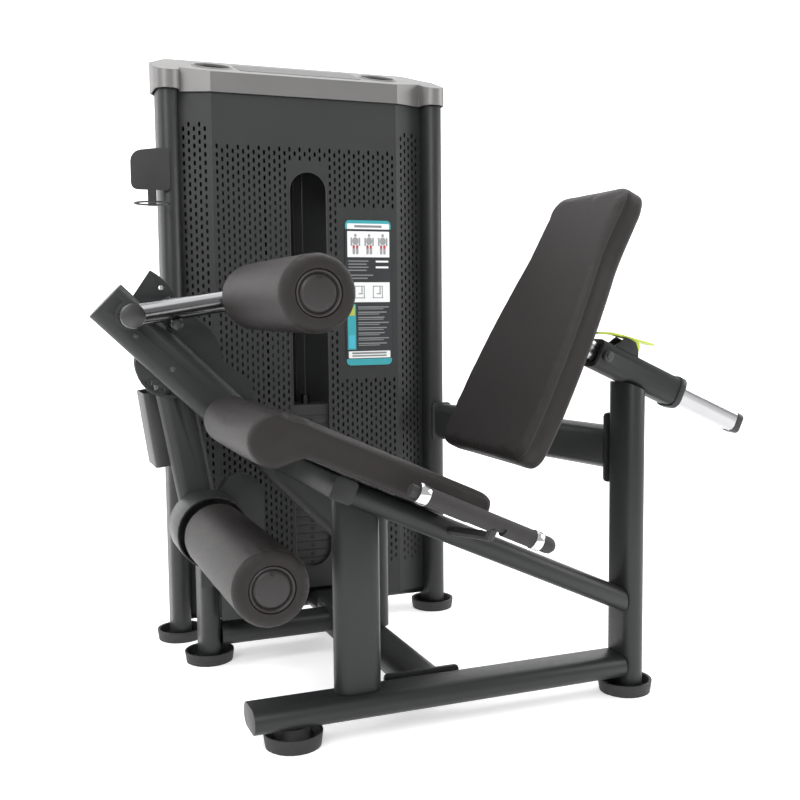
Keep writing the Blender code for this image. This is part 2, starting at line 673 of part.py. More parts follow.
def pivot_post():
    """Side leg that stands up and leans over to carry the far end of the knee shaft."""
    x, y = SIDE_LEG
    knee = in_plane(KNEE, y)
    turn = Vector((x, y, LEG_BEND))
    lean = (knee - turn).normalized()
    mitre = (lean + Z_AXIS).normalized()
    post = tube("pivot_post", (x, y, FOOT_SEAT), (x, y, LEG_BEND + 0.04), Y_AXIS,
                planes=[(turn + mitre * 0.0010, mitre)])
    weld(post, tube_parts(turn - lean * 0.04, knee - lean * 0.0300, Y_AXIS,
                          planes=[(turn - mitre * 0.0010, -mitre)]))
    weld(post, (ring(0.040, SHAFT_RADIUS + RUNNING, 0.070, 36), frame_at((KNEE[0], 0.582, KNEE[1]), Y_AXIS)))


def support_beam():
    """Sloping beam that carries both leg arms, with a bearing in its rear wall."""
    tip = in_plane(BEAM_TIP, BEAM_Y)
    face = CROSS_MEMBER_X - OVAL_WIDE / 2 - GAP
    beam = tube("support_beam", tip, tip + BEAM_ALONG * 0.86, BEAM_UP, planes=[((face, 0, 0), X_AXIS)])
    weld(beam, (slab([flat_oval(OVAL_WIDE, OVAL_THIN)], 0.004),
                frame_at(tip - BEAM_ALONG * 0.0005, BEAM_ALONG, BEAM_UP)))
    weld(beam, (cylinder(0.0245, 0.032, 20), frame_at((KNEE[0], 0.4225, KNEE[1]), Y_AXIS)))
    cut(beam, cylinder(SHAFT_RADIUS + RUNNING, 0.045, 36), frame_at((KNEE[0], 0.4225, KNEE[1]), Y_AXIS))
    cut(beam, cylinder(0.0125 + GAP, 0.024, 24), frame_at((THIGH_PIVOT[0], 0.380, THIGH_PIVOT[1]), Y_AXIS))
    mesh, matrix = rod((THIGH_PIVOT[0], 0.3276, THIGH_PIVOT[1]), (THIGH_PIVOT[0], 0.4250, THIGH_PIVOT[1]), 0.0125)
    pin = node("thigh_pivot_pin", mesh, "steel", matrix)
    weld(pin, (cylinder(0.032, 0.0032, 24), frame_at((THIGH_PIVOT[0], 0.3781, THIGH_PIVOT[1]), Y_AXIS)))


def from_beam(place, along, up):
    """Point in the support beam's side plane, from a place on it."""
    point = Vector((place[0], 0, place[1])) + BEAM_ALONG * along + BEAM_UP * up
    return (point.x, point.z)


def quadrant_plate():
    """Fixed plate behind the support beam: stop holes for the thigh arm, then a guard fin."""
    boss = THIGH_PIVOT
    points = [from_beam(boss, 0.0, -0.040)]
    points += [from_beam(boss, -0.030, 0.0), from_beam(boss, -0.020, 0.040)]
    points += arc(boss, 0.116, 62, 10, 6)
    points += arc(KNEE, 0.118, 50, 2, 5)
    points += [from_beam(KNEE, 0.165, 0.096), from_beam(KNEE, 0.205, 0.070), from_beam(KNEE, 0.215, -0.030),
               from_beam(KNEE, 0.060, -0.040)]
    holes = [circle(0.0055, 10, (boss[0] + THIGH_HOLE_RADIUS * math.cos(THIGH_PIN_ANGLE + math.radians(i * 17)),
                                 boss[1] + THIGH_HOLE_RADIUS * math.sin(THIGH_PIN_ANGLE + math.radians(i * 17))))
             for i in range(4)]
    holes.append(circle(0.0251, 24, KNEE))
    outline = [points] + holes
    middle_y = BEAM_Y + OVAL_THIN / 2 + GAP + 0.0035
    flipped = [[(x, -z) for x, z in loop] for loop in outline]
    node("quadrant_plate", slab(flipped, 0.007), "frame", frame_at((0, middle_y, 0), Y_AXIS, X_AXIS))


def guards():
    """Arched guard over the front pulley and the channel that hides the rising cable."""
    centre_x, width, top, deep = -0.259, 0.110, 0.4800, 0.0315
    half = width / 2
    skin = 0.003
    outer = arc((centre_x, top - half), half, 0, 180, 10) + [(centre_x - half, 0.120), (centre_x + half, 0.120)]
    inner = arc((centre_x, top - half), half - skin, 0, 180, 10)
    inner += [(centre_x - half + skin, 0.110), (centre_x + half - skin, 0.110)]
    guard = node("pulley_guard", slab([outer], deep), "frame", along_y(0, 0.5000 + deep / 2, 0))
    cut(guard, slab([inner], deep), along_y(0, 0.5030 + deep / 2, 0))
    weld(guard, (box(0.050, 0.003, 0.060), at(centre_x - half - 0.020, 0.5302, 0.230)))
    cut(guard, box(0.040, 0.020, 0.150), at(centre_x - half, 0.5200, 0.350))

    lean = math.radians(8.1)
    axis = Vector((-math.sin(lean), 0, math.cos(lean)))
    wall = 0.0025
    front, rear, wide = 0.5113, 0.6440, 0.085
    corner = 0.012

    def channel(inset):
        """U open to the right: half the outline from its front lip round to its rear lip."""
        r = corner - inset
        left, near, far = inset, front + inset, rear - inset
        path = [(wide, near)] + arc((left + r, near + r), r, 270, 180, 4)
        return path + arc((left + r, far - r), r, 180, 90, 4) + [(wide, far)]
    outline = channel(0) + list(reversed(channel(wall)))
    low = Vector((-0.461, 0, 0.505))
    length = 0.180
    across = Vector((math.cos(lean), 0, math.sin(lean)))
    matrix = frame_at(low + axis * length / 2, axis, across)
    node("cable_guard", slab([outline], length), "sheet", matrix)


# ---------------------------------------------------------------- seat
KNEE_ROLL = (-0.358, 0.648)
KNEE_ROLL_RADIUS = 0.052
PAD_THICKNESS = 0.065


def seat_pad():
    """Cushion with a round knee roll at its front, one closed form across the seat."""
    top = PAD_LEVEL
    thick = PAD_THICKNESS / math.cos(SLOPE)
    roll = arc(KNEE_ROLL, KNEE_ROLL_RADIUS, 60, 300, 12)
    rear_x = 0.083
    rear_top = Vector((rear_x, top - math.tan(SLOPE) * rear_x))
    down = Vector((-UP.x, -UP.z))
    along = Vector((ALONG.x, ALONG.z))
    rear = [rear_top - along * 0.014, rear_top + down * 0.014,
            rear_top + down * (PAD_THICKNESS - 0.018), rear_top + down * PAD_THICKNESS - along * 0.012]
    start = -0.300
    lower = (start, top - math.tan(SLOPE) * start - thick)
    upper = (start, top - math.tan(SLOPE) * start)
    outline = [upper] + roll + [lower] + [tuple(p) for p in reversed(rear)]
    mesh = slab([outline], 2 * SEAT_HALF_WIDTH)
    node("seat_pad", mesh, "vinyl", along_y(0, 0, 0))


def handles():
    """Hand grips beside the seat, each on a bent tube welded to the rail."""
    level = 0.4975
    for side, name in ((-1, "near"), (1, "far")):
        y = side * 0.250
        first = slope_point(-0.118, level, y)
        last = slope_point(0.160, level, y)
        bar = node("handle_" + name, pipe([first, last + ALONG * 0.002], 0.0125, 2), "chrome")
        for place, length in ((first + ALONG * 0.025, 0.020), (last - ALONG * 0.022, 0.016)):
            weld(bar, (ring(0.0185, 0.0100, length), frame_at(place, ALONG)))
        weld(bar, (turned([(0, 0.020), (0.008, 0.018), (0.0155, 0.008), (0.0155, 0.0), (0, 0.0)], 16),
                   frame_at(last, ALONG)))
        root = slope_point(0.053, RAIL_LEVEL + 0.004, side * 0.0503)
        stub = slope_point(0.053, level, y) - UP * 0.0050
        weld(bar, (pipe([root, Vector((stub.x, side * 0.2000, stub.z - 0.027)),
                         Vector((stub.x, y - side * 0.018, stub.z - 0.024)), stub], 0.010, 2), Matrix.Identity(4)))
        start, end = first + ALONG * 0.0355, last - ALONG * 0.0305
        grip = ring(0.0175, 0.0128, (end - start).length)
        grip = node("hand_grip_" + name, grip, "rubber", frame_at((start + end) / 2, ALONG))
        cut(grip, box(0.030, 0.060, 0.030), frame_at(slope_point(0.058, level, y) - UP * 0.0172, UP, ALONG))


# ---------------------------------------------------------------- backrest and its slide
BACK_LEAN = math.radians(27.0)
BACK_ALONG = Vector((math.cos(BACK_LEAN), 0, -math.sin(BACK_LEAN)))
BACK_UP = Vector((math.sin(BACK_LEAN), 0, math.cos(BACK_LEAN)))
BACK_TRAVEL = 0.350              # along the bright bar, from its line's height at X = 0
BACK_RISE = 0.0055
BACK_LENGTH = 0.630
BACK_THICKNESS = 0.055
SLEEVE_FRONT = 0.420
SLEEVE_LENGTH = 0.236
BAR_END = 0.806


def back_outline():
    """Half widths of the backrest along its length, from the bottom to the top."""
    half = BACK_LENGTH / 2
    right = arc((0.164, -half + 0.042), 0.042, 270, 358, 5)
    right += [(0.2080, -half + 0.105), (0.2010, -0.100), (0.1870, 0.012), (0.1710, 0.096), (0.1630, 0.130),
              (0.1580, 0.165), (0.1575, 0.215)]
    right += arc((0.112, half - 0.045), 0.045, 2, 90, 5)
    left = [(-x, y) for x, y in reversed(right)]
    return right + left


def backrest(slide):
    behind = slope_point(0.0, SLIDE_LEVEL) + ALONG * BACK_TRAVEL
    centre = behind - BACK_ALONG * (BACK_THICKNESS / 2 + GAP) + BACK_UP * BACK_RISE
    pad_matrix = frame_at(centre, BACK_ALONG, Y_AXIS)
    node("back_pad", slab([back_outline()], BACK_THICKNESS), "vinyl", pad_matrix, slide)

    bar_end = slope_point(BAR_END, SLIDE_LEVEL)
    outline = rounded_rectangle(0.045, 0.045, 0.010, 2)
    mesh, matrix = tube_parts(behind + ALONG * 0.003, bar_end, Y_AXIS, outline,
                              rounded_rectangle(0.039, 0.039, 0.007, 2))
    bar = node("slide_bar", mesh, "chrome", matrix, slide)
    weld(bar, (slab([rounded_rectangle(0.160, 0.110, 0.012, 2)], 0.006),
               frame_at(behind + BACK_ALONG * 0.003, BACK_ALONG, Y_AXIS)),
         (slab([rounded_rectangle(0.0448, 0.0448, 0.010, 2)], 0.005),
          frame_at(bar_end + ALONG * 0.001, ALONG, Y_AXIS)))
    for i in range(5):
        spot = slope_point(0.475 + LOCK_STEP * (i - 2), SLIDE_LEVEL) + UP * 0.020
        cut(bar, cylinder(0.0062, 0.020, 16), frame_at(spot, UP))


LOCK_X = 0.475
LOCK_STEP = 0.030
LEVER_PIVOT_X = 0.497


def slide_sleeve(lever_pivot, lock):
    inner = rounded_rectangle(0.0456, 0.0456, 0.0103, 2)
    start = slope_point(SLEEVE_FRONT, SLIDE_LEVEL)
    end = start + ALONG * SLEEVE_LENGTH
    mesh, matrix = tube_parts(start, end, Y_AXIS, rounded_rectangle(0.066, 0.066, 0.018, 3), inner)
    sleeve = node("slide_sleeve", mesh, "frame", matrix)
    collar = [rounded_rectangle(0.074, 0.074, 0.022, 3), rounded_rectangle(0.056, 0.056, 0.014, 3)]
    weld(sleeve, (slab(collar, 0.014), frame_at(end - ALONG * 0.006, ALONG, Y_AXIS)))
    for side in (-1, 1):
        cheek = [(-0.030, -0.014), (0.036, -0.014), (0.030, 0.000), (0.016, 0.014), (-0.012, 0.014)]
        weld(sleeve, (slab([[(x, -z) for x, z in cheek]], 0.004),
                      frame_at(slope_point(0.478, SLIDE_LEVEL, side * 0.020) + UP * 0.0455, Y_AXIS, ALONG)))
    hinge = slope_point(LEVER_PIVOT_X, SLIDE_LEVEL) + UP * 0.0500
    weld(sleeve, rod(hinge - Y_AXIS * 0.0200, hinge + Y_AXIS * 0.0200, 0.004, 12))
    boss = slope_point(0.436, SLIDE_LEVEL, -0.0410)
    weld(sleeve, rod(boss, boss + Y_AXIS * 0.0110, 0.013, 16))
    lock_at = slope_point(LOCK_X, SLIDE_LEVEL)
    cut(sleeve, cylinder(0.0062, 0.030, 16), frame_at(lock_at + UP * 0.033, UP))

    line = [(-0.095, 0.0405), (-0.060, 0.0395), (-0.030, 0.0330), (0.000, 0.0245), (0.030, 0.0170),
            (0.052, 0.0110)]
    blade = slab([line + [(x, z + 0.0045) for x, z in reversed(line)]], 0.034)
    lever = node("adjust_lever", blade, "lever", along_y(hinge.x, hinge.y, hinge.z - 0.010), lever_pivot)
    weld(lever, (slab([circle(0.0155, 16), circle(0.004 + RUNNING, 16)], 0.030), frame_at(hinge, Y_AXIS)))
    mesh, matrix = rod(lock_at + UP * 0.0229, lock_at + UP * 0.0495, 0.006, 12)
    node("lock_pin", mesh, "steel", matrix, lock)


# ---------------------------------------------------------------- leg arms and rollers
def roller(name, axis, carrier):
    """Padded roller on a shaft, with a sunk plastic cap in its near end."""
    centre = in_plane(axis, (ROLL_NEAR_Y + ROLL_FAR_Y) / 2)
    half = (ROLL_FAR_Y - ROLL_NEAR_Y) / 2
    bore = 0.0125 + RUNNING
    well, depth = 0.0430, 0.010
    r = ROLL_RADIUS
    profile = [(bore, half), (r - 0.016, half), (r - 0.004, half - 0.006), (r, half - 0.018),
               (r, -half + 0.018), (r - 0.004, -half + 0.006), (r - 0.016, -half), (well, -half),
               (well, -half + depth), (bore, -half + depth)]
    node(name, turned(profile, 32), "vinyl", frame_at(centre, Y_AXIS), carrier)
    cap = turned([(0, 0.0085), (well - GAP, 0.0085), (well - GAP, 0.003), (0.036, 0.0), (0, 0.0)], 24)
    node(name + "_cap", cap, "plastic", frame_at(in_plane(axis, ROLL_NEAR_Y + 0.001), Y_AXIS), carrier)


def movement_arm(arm, start_pin):
    knee, ankle = in_plane(KNEE, ARM_Y), in_plane(ANKLE, ARM_Y)
    lean = (ankle - knee).normalized()
    beam, beam_matrix = tube_parts(knee + lean * 0.0050, ankle, Y_AXIS.cross(lean),
                                   flat_oval(0.090, ARM_DEPTH), flat_oval(0.084, ARM_DEPTH - 2 * WALL))
    front = ARM_Y - ARM_DEPTH / 2
    depth = front + 0.002 - 0.335
    cup = turned([(0.0100, 0), (0.083, 0), (0.083, depth), (0.079, depth), (0.079, 0.0065), (0.0100, 0.0065)], 28)
    item = node("movement_arm", beam, "frame", beam_matrix, arm)
    weld(item, (cylinder(0.0460, ARM_DEPTH + 0.0010, 24), frame_at(knee, Y_AXIS)),
         (cylinder(0.0455, ARM_DEPTH + 0.0006, 24), frame_at(ankle, Y_AXIS)),
         (cup, frame_at(in_plane(ANKLE, front + 0.002), -Y_AXIS)),
         rod(in_plane(ANKLE, ROLL_NEAR_Y + 0.0103), in_plane(ANKLE, front + 0.004), 0.0125))
    cut(item, cylinder(SHAFT_RADIUS + RUNNING, 0.06, 36), frame_at(knee, Y_AXIS))
    pin_at = knee + lean * START_HOLE_RADIUS
    cut(item, cylinder(0.0062, 0.10, 16), frame_at(pin_at, Y_AXIS))

    knob = turned([(0, 0.009), (0.010, 0.009), (0.012, 0.007), (0.012, 0.0), (0, 0.0)], 16)
    pin = node("start_pin", knob, "steel", frame_at((pin_at.x, 0.4956, pin_at.z), Y_AXIS), start_pin)
    weld(pin, rod((pin_at.x, front - 0.0032, pin_at.z), (pin_at.x, 0.4980, pin_at.z), 0.006, 12))


def drive_shaft(drive):
    """Knee shaft with the start-position disc and the cable wheel welded on it."""
    mesh, matrix = rod((KNEE[0], 0.410, KNEE[1]), (KNEE[0], 0.625, KNEE[1]), SHAFT_RADIUS)
    shaft = node("drive_shaft", mesh, "steel", matrix, drive)
    lean = math.atan2(ANKLE[1] - KNEE[1], ANKLE[0] - KNEE[0])
    holes = [circle(0.0120, 16)]
    for i in range(5):
        angle = -lean + math.radians(15 * i)
        holes.append(circle(0.0062, 16, (START_HOLE_RADIUS * math.cos(angle), START_HOLE_RADIUS * math.sin(angle))))
    rim, groove, half = 0.073, WHEEL_RADIUS - CABLE_RADIUS - GAP, 0.007
    profile = [(0.0120, half), (rim, half), (rim, half - 0.0015), (groove, 0.0032), (groove, -0.0032),
               (rim, -half + 0.0015), (rim, -half), (0.0120, -half)]
    weld(shaft, (slab([circle(0.081, 32)] + holes, 0.006), frame_at(in_plane(KNEE, 0.4435), Y_AXIS, X_AXIS)),
         (turned(profile, 28), frame_at(in_plane(KNEE, WHEEL_Y), Y_AXIS)))


def thigh_arm(thigh, thigh_pin):
    boss, roll = in_plane(THIGH_PIVOT, THIGH_ARM_Y), in_plane(THIGH_ROLL, THIGH_ARM_Y)
    reach = (roll - boss).normalized()
    hub = cylinder(0.027, 0.0562, 24)
    item = node("thigh_arm", hub, "chrome", frame_at(boss - Y_AXIS * 0.0022, Y_AXIS), thigh)
    spot = boss + Vector((math.cos(THIGH_PIN_ANGLE), 0, math.sin(THIGH_PIN_ANGLE))) * THIGH_HOLE_RADIUS
    weld(item, tube_parts(boss + reach * 0.0200, roll + reach * 0.028, Y_AXIS, circle(0.024, 20), circle(0.021, 20)),
         (ring(0.0225, 0.004, 0.004, 20), frame_at(roll + reach * 0.0265, reach)),
         rod(in_plane(THIGH_ROLL, ROLL_NEAR_Y + 0.0103), in_plane(THIGH_ROLL, THIGH_ARM_Y - 0.019), 0.0125),
         (box(0.024, 0.016, 0.040), frame_at((spot.x, THIGH_ARM_Y + 0.020, spot.z + 0.014), Y_AXIS, X_AXIS)),
         (cylinder(0.0105, 0.050, 12), frame_at((spot.x, 0.390, spot.z), Y_AXIS)))
    cut(item, cylinder(0.0125 + RUNNING, 0.0495, 32), frame_at(boss + Y_AXIS * 0.0019, Y_AXIS))
    cut(item, cylinder(0.0055, 0.100, 10), frame_at((spot.x, 0.390, spot.z), Y_AXIS))
    knob = turned([(0, 0.026), (0.007, 0.0245), (0.012, 0.019), (0.0135, 0.012), (0.010, 0.003), (0, 0.0)], 16)
    pin = node("thigh_pin", knob, "steel", frame_at((spot.x, 0.3502, spot.z), -Y_AXIS), thigh_pin)
    weld(pin, rod((spot.x, 0.3460, spot.z), (spot.x, 0.4298, spot.z), 0.0048, 10))


# ---------------------------------------------------------------- assembly
def build():
    lift = pivot("weight_lift_axis", (0, STACK_Y, STACK_BOTTOM))
    drive = pivot("drive_axis", in_plane(KNEE, WHEEL_Y))
    arm = pivot("arm_axis", in_plane(KNEE, ARM_Y))
    start_pin = pivot("start_pin_axis", in_plane(KNEE, ARM_Y))
    ankle = pivot("ankle_roller_axis", in_plane(ANKLE, 0))
    thigh = pivot("thigh_arm_axis", in_plane(THIGH_PIVOT, THIGH_ARM_Y))
    thigh_pin = pivot("thigh_pin_axis", in_plane(THIGH_PIVOT, THIGH_ARM_Y))
    thigh_roll = pivot("thigh_roller_axis", in_plane(THIGH_ROLL, 0))
    slide = pivot("backrest_slide_axis", slope_point(REAR_POST_X, SLIDE_LEVEL))
    lever = pivot("adjust_lever_axis", slope_point(LEVER_PIVOT_X, SLIDE_LEVEL) + UP * 0.0500)
    lock = pivot("lock_pin_axis", slope_point(LOCK_X, SLIDE_LEVEL))

    tower_frame()
    tower_covers()
    top_cap()
    weight_stack(lift)
    feet()
    tower_trim()
    cable()
    pulleys()
    lower_frame()
    pivot_post()
    support_beam()
    quadrant_plate()
    guards()
    seat_pad()
    handles()
    backrest(slide)
    slide_sleeve(lever, lock)
    drive_shaft(drive)
    movement_arm(arm, start_pin)
    roller("ankle_roller", ANKLE, ankle)
    thigh_arm(thigh, thigh_pin)
    roller("thigh_roller", THIGH_ROLL, thigh_roll)


build()
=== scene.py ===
"""Looks of the leg extension machine: materials, padded pieces, perforated cover and studio.

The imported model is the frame; every place below comes from its boxes or from the same
driving sizes as the model, in metres, with the middle of the footprint at the origin.
"""

import json
import math

import bmesh
import bpy
import numpy as np
from mathutils import Matrix, Vector
from mathutils.bvhtree import BVHTree


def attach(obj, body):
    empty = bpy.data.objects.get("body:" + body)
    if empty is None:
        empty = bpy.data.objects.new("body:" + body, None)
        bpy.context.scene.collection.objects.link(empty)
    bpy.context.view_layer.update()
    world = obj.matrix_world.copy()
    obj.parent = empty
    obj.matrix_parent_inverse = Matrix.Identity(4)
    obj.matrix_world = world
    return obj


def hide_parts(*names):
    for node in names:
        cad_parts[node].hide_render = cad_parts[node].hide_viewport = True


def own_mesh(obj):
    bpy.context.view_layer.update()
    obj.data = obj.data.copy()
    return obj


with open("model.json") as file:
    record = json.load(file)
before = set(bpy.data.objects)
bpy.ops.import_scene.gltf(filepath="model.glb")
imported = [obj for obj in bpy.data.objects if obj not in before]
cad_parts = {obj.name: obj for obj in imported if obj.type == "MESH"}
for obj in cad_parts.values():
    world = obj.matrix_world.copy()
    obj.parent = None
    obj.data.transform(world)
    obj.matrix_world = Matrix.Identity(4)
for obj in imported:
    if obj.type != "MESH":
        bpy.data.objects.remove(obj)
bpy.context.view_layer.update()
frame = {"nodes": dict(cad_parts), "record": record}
NODES = frame["nodes"]

# ---------------------------------------------------------------- driving sizes
FOOTPRINT_CENTRE = Vector((0.10335, 0.33825, 0.0))
SLOPE = math.radians(24.5)
ALONG = Vector((math.cos(SLOPE), 0, -math.sin(SLOPE)))
UP = Vector((math.sin(SLOPE), 0, math.cos(SLOPE)))
BEAM_SLOPE = math.radians(44.4)
BEAM_ALONG = Vector((math.cos(BEAM_SLOPE), 0, -math.sin(BEAM_SLOPE)))
BEAM_UP = Vector((math.sin(BEAM_SLOPE), 0, math.cos(BEAM_SLOPE)))
X_AXIS = Vector((1, 0, 0))
Y_AXIS = Vector((0, 1, 0))
Z_AXIS = Vector((0, 0, 1))


def spot(x, y, z):
    """Place in the row frame of a point given from the tower's centre and the seat's plane."""
    return Vector((x, y, z)) - FOOTPRINT_CENTRE


# ---------------------------------------------------------------- node materials
class Shader:
    """A Principled material and the nodes that feed it."""

    def __init__(self, name, colour, roughness, metallic=0.0, **uniform):
        self.material = bpy.data.materials.new(name)
        self.material.use_nodes = True
        self.tree = self.material.node_tree
        self.base = self.tree.nodes["Principled BSDF"]
        self.base.inputs["Base Color"].default_value = (*colour, 1)
        self.base.inputs["Roughness"].default_value = roughness
        self.base.inputs["Metallic"].default_value = metallic
        for key, value in uniform.items():
            self.base.inputs[key.replace("_", " ")].default_value = value
        self.colour = colour
        self.roughness = roughness
        self.place = self.add("ShaderNodeTexCoord").outputs["Object"]
        self.height = None

    def add(self, kind, **settings):
        node = self.tree.nodes.new(kind)
        for key, value in settings.items():
            if key in node.inputs:
                node.inputs[key].default_value = value
            else:
                setattr(node, key, value)
        return node

    def link(self, output, target):
        self.tree.links.new(output, target)

    def stretched(self, scale):
        """Object coordinates scaled along each axis, for grain that runs one way."""
        mapping = self.add("ShaderNodeMapping")
        mapping.inputs["Scale"].default_value = scale
        self.link(self.place, mapping.inputs["Vector"])
        return mapping.outputs["Vector"]

    def noise(self, scale, detail=2.0, where=None, roughness=0.5):
        node = self.add("ShaderNodeTexNoise", Scale=scale, Detail=detail, Roughness=roughness)
        self.link(where or self.place, node.inputs["Vector"])
        return node.outputs["Fac"]

    def cells(self, scale, feature="F1", where=None):
        node = self.add("ShaderNodeTexVoronoi", Scale=scale, feature=feature)
        self.link(where or self.place, node.inputs["Vector"])
        return node.outputs["Distance"]

    def remap(self, value, low, high, start=0.0, end=1.0):
        node = self.add("ShaderNodeMapRange")
        for key, number in (("From Min", start), ("From Max", end), ("To Min", low), ("To Max", high)):
            node.inputs[key].default_value = number
        self.link(value, node.inputs["Value"])
        return node.outputs["Result"]

    def tint(self, factor, dark, light):
        """Base colour that runs from dark to light with a factor."""
        ramp = self.add("ShaderNodeValToRGB")
        ramp.color_ramp.elements[0].color = (*dark, 1)
        ramp.color_ramp.elements[1].color = (*light, 1)
        self.link(factor, ramp.inputs["Fac"])
        self.link(ramp.outputs["Color"], self.base.inputs["Base Color"])
        return self

    def vary(self, factor, spread):
        """Base colour a little darker and lighter than the plain one."""
        dark = tuple(c * (1 - spread) for c in self.colour)
        light = tuple(min(1, c * (1 + spread)) for c in self.colour)
        return self.tint(factor, dark, light)

    def rough(self, factor, low, high):
        self.link(self.remap(factor, low, high), self.base.inputs["Roughness"])
        return self

    def bump(self, height, distance, strength=1.0):
        node = self.add("ShaderNodeBump", Distance=distance, Strength=strength)
        self.link(height, node.inputs["Height"])
        if self.height is not None:
            self.link(self.height, node.inputs["Normal"])
        self.height = node.outputs["Normal"]
        self.link(self.height, self.base.inputs["Normal"])
        return self


def powder_coat(name, colour, roughness=0.42):
    """Baked paint: fine orange peel, faint tone drift and dust on the sheen."""
    paint = Shader(name, colour, roughness, 0.0, Specular_IOR_Level=0.36)
    paint.vary(paint.noise(7.0, 4.0), 0.16)
    paint.rough(paint.noise(60.0, 3.0), roughness - 0.05, roughness + 0.07)
    paint.bump(paint.noise(900.0, 1.0), 0.00006)
    paint.bump(paint.noise(2600.0, 0.0), 0.00003)
    return paint.material


def satin_steel(name, colour, roughness):
    """Plated tube in the given colour, darkened on the thigh arm and guide rods as painted shade: long faint
    polishing lines and a soft reflection.
    """
    metal = Shader(name, colour, roughness, 1.0)
    grain = metal.noise(90.0, 3.0, metal.stretched((1.0, 14.0, 14.0)))
    metal.vary(metal.noise(8.0, 3.0), 0.10)
    metal.rough(grain, roughness - 0.05, roughness + 0.07)
    metal.bump(grain, 0.00002)
    return metal.material


def brushed_silver():
    metal = Shader("silver_cap", (0.175, 0.172, 0.170), 0.42, 0.5)
    grain = metal.noise(60.0, 3.0, metal.stretched((1.0, 30.0, 30.0)))
    metal.vary(metal.noise(5.0, 3.0), 0.10)
    metal.rough(grain, 0.36, 0.50)
    metal.bump(grain, 0.00004)
    return metal.material


def chrome():
    plate = Shader("chrome_plate", (0.78, 0.78, 0.79), 0.1, 1.0)
    plate.vary(plate.noise(9.0, 3.0), 0.05)
    plate.rough(plate.noise(40.0, 4.0, plate.stretched((1.0, 6.0, 6.0))), 0.06, 0.20)
    plate.bump(plate.noise(300.0, 2.0), 0.00001)
    return plate.material


def zinc():
    metal = Shader("bright_zinc", (0.42, 0.42, 0.43), 0.32, 1.0)
    metal.vary(metal.noise(30.0, 3.0), 0.15)
    metal.rough(metal.noise(200.0, 3.0), 0.22, 0.42)
    metal.bump(metal.noise(700.0, 1.0), 0.00003)
    return metal.material


def cast_iron():
    iron = Shader("painted_iron", (0.030, 0.030, 0.031), 0.5, 0.3)
    iron.vary(iron.noise(12.0, 4.0), 0.30)
    iron.rough(iron.noise(90.0, 3.0), 0.42, 0.62)
    iron.bump(iron.noise(420.0, 4.0), 0.00018)
    return iron.material


def upholstery():
    """Brown-black vinyl with a leather grain: small cells, creases and a soft sheen."""
    skin = Shader("upholstery_vinyl", (0.0150, 0.0120, 0.0118), 0.46, 0.0, Specular_IOR_Level=0.26)
    skin.vary(skin.noise(10.0, 4.0), 0.14)
    grain = skin.cells(1150.0, "DISTANCE_TO_EDGE")
    crease = skin.remap(grain, 0.0, 1.0, 0.0, 0.28)
    skin.rough(skin.noise(150.0, 3.0), 0.42, 0.56)
    skin.bump(crease, 0.00011)
    skin.bump(skin.noise(420.0, 3.0), 0.00008)
    return skin.material


def rubber(name, colour=(0.018, 0.018, 0.019)):
    black = Shader(name, colour, 0.62)
    black.vary(black.noise(14.0, 4.0), 0.25)
    black.rough(black.noise(120.0, 3.0), 0.52, 0.74)
    black.bump(black.noise(1100.0, 2.0), 0.00005)
    return black.material


def foam_grip():
    foam = Shader("grip_foam", (0.022, 0.020, 0.020), 0.7)
    foam.vary(foam.noise(25.0, 4.0), 0.2)
    foam.rough(foam.noise(300.0, 2.0), 0.6, 0.8)
    foam.bump(foam.cells(900.0), 0.00016)
    return foam.material


def moulded(name, colour, roughness=0.42):
    plastic = Shader(name, colour, roughness)
    plastic.vary(plastic.noise(16.0, 3.0), 0.12)
    plastic.rough(plastic.noise(180.0, 3.0), roughness - 0.07, roughness + 0.10)
    plastic.bump(plastic.noise(1500.0, 1.0), 0.00004)
    return plastic.material


def printed(name, colour):
    """Satin print on a plastic panel."""
    ink = Shader(name, colour, 0.38)
    ink.vary(ink.noise(30.0, 2.0), 0.05)
    ink.rough(ink.noise(90.0, 2.0), 0.30, 0.44)
    return ink.material


def coated_cable():
    cover = Shader("cable_cover", (0.016, 0.016, 0.017), 0.4)
    cover.vary(cover.noise(60.0, 2.0), 0.2)
    cover.rough(cover.noise(260.0, 2.0), 0.32, 0.52)
    cover.bump(cover.noise(900.0, 1.0), 0.00004)
    return cover.material


FRAME_PAINT = powder_coat("frame_powder_coat", (0.0195, 0.0203, 0.0209), 0.42)
SHEET_PAINT = powder_coat("sheet_powder_coat", (0.0245, 0.0252, 0.0258), 0.5)
SILVER = brushed_silver()
CHROME = chrome()
# thigh arm's chrome darkened as painted shade, standing in for the dark surroundings it reflects
ARM_CHROME_PAINTED_SHADE = satin_steel("chrome_painted_shade", (0.20, 0.20, 0.205), 0.20)
ARM_END = satin_steel("arm_end_grey", (0.085, 0.085, 0.087), 0.34)
ZINC = zinc()
IRON = cast_iron()
VINYL = upholstery()
RUBBER = rubber("black_rubber")
GRIP = foam_grip()
PLASTIC = moulded("black_plastic", (0.022, 0.022, 0.023))
LEVER = moulded("lever_green", (0.50, 0.62, 0.035), 0.35)
CABLE = coated_cable()
CAP_PLASTIC = moulded("roller_cap_plastic", (0.0150, 0.0120, 0.0118), 0.50)
# near-black material for painted shade inside holes and dimples
HOLE_PAINTED_SHADE = moulded("recess_painted_shade", (0.006, 0.006, 0.006), 0.6)
# guide rods and selector stem near black as painted shade of the tower's inside, in place of their bright
# reflection
ROD_PAINTED_SHADE = satin_steel("guide_rod_painted_shade", (0.035, 0.035, 0.036), 0.45)
BAR_CHROME = satin_steel("bright_bar", (0.40, 0.40, 0.41), 0.16)
CAP_DARK = powder_coat("cap_inlay_grey", (0.085, 0.085, 0.085), 0.45)
BOLT = powder_coat("blackened_bolt", (0.06, 0.06, 0.062), 0.34)
WELT = moulded("upholstery_welt", (0.013, 0.010, 0.0095), 0.5)

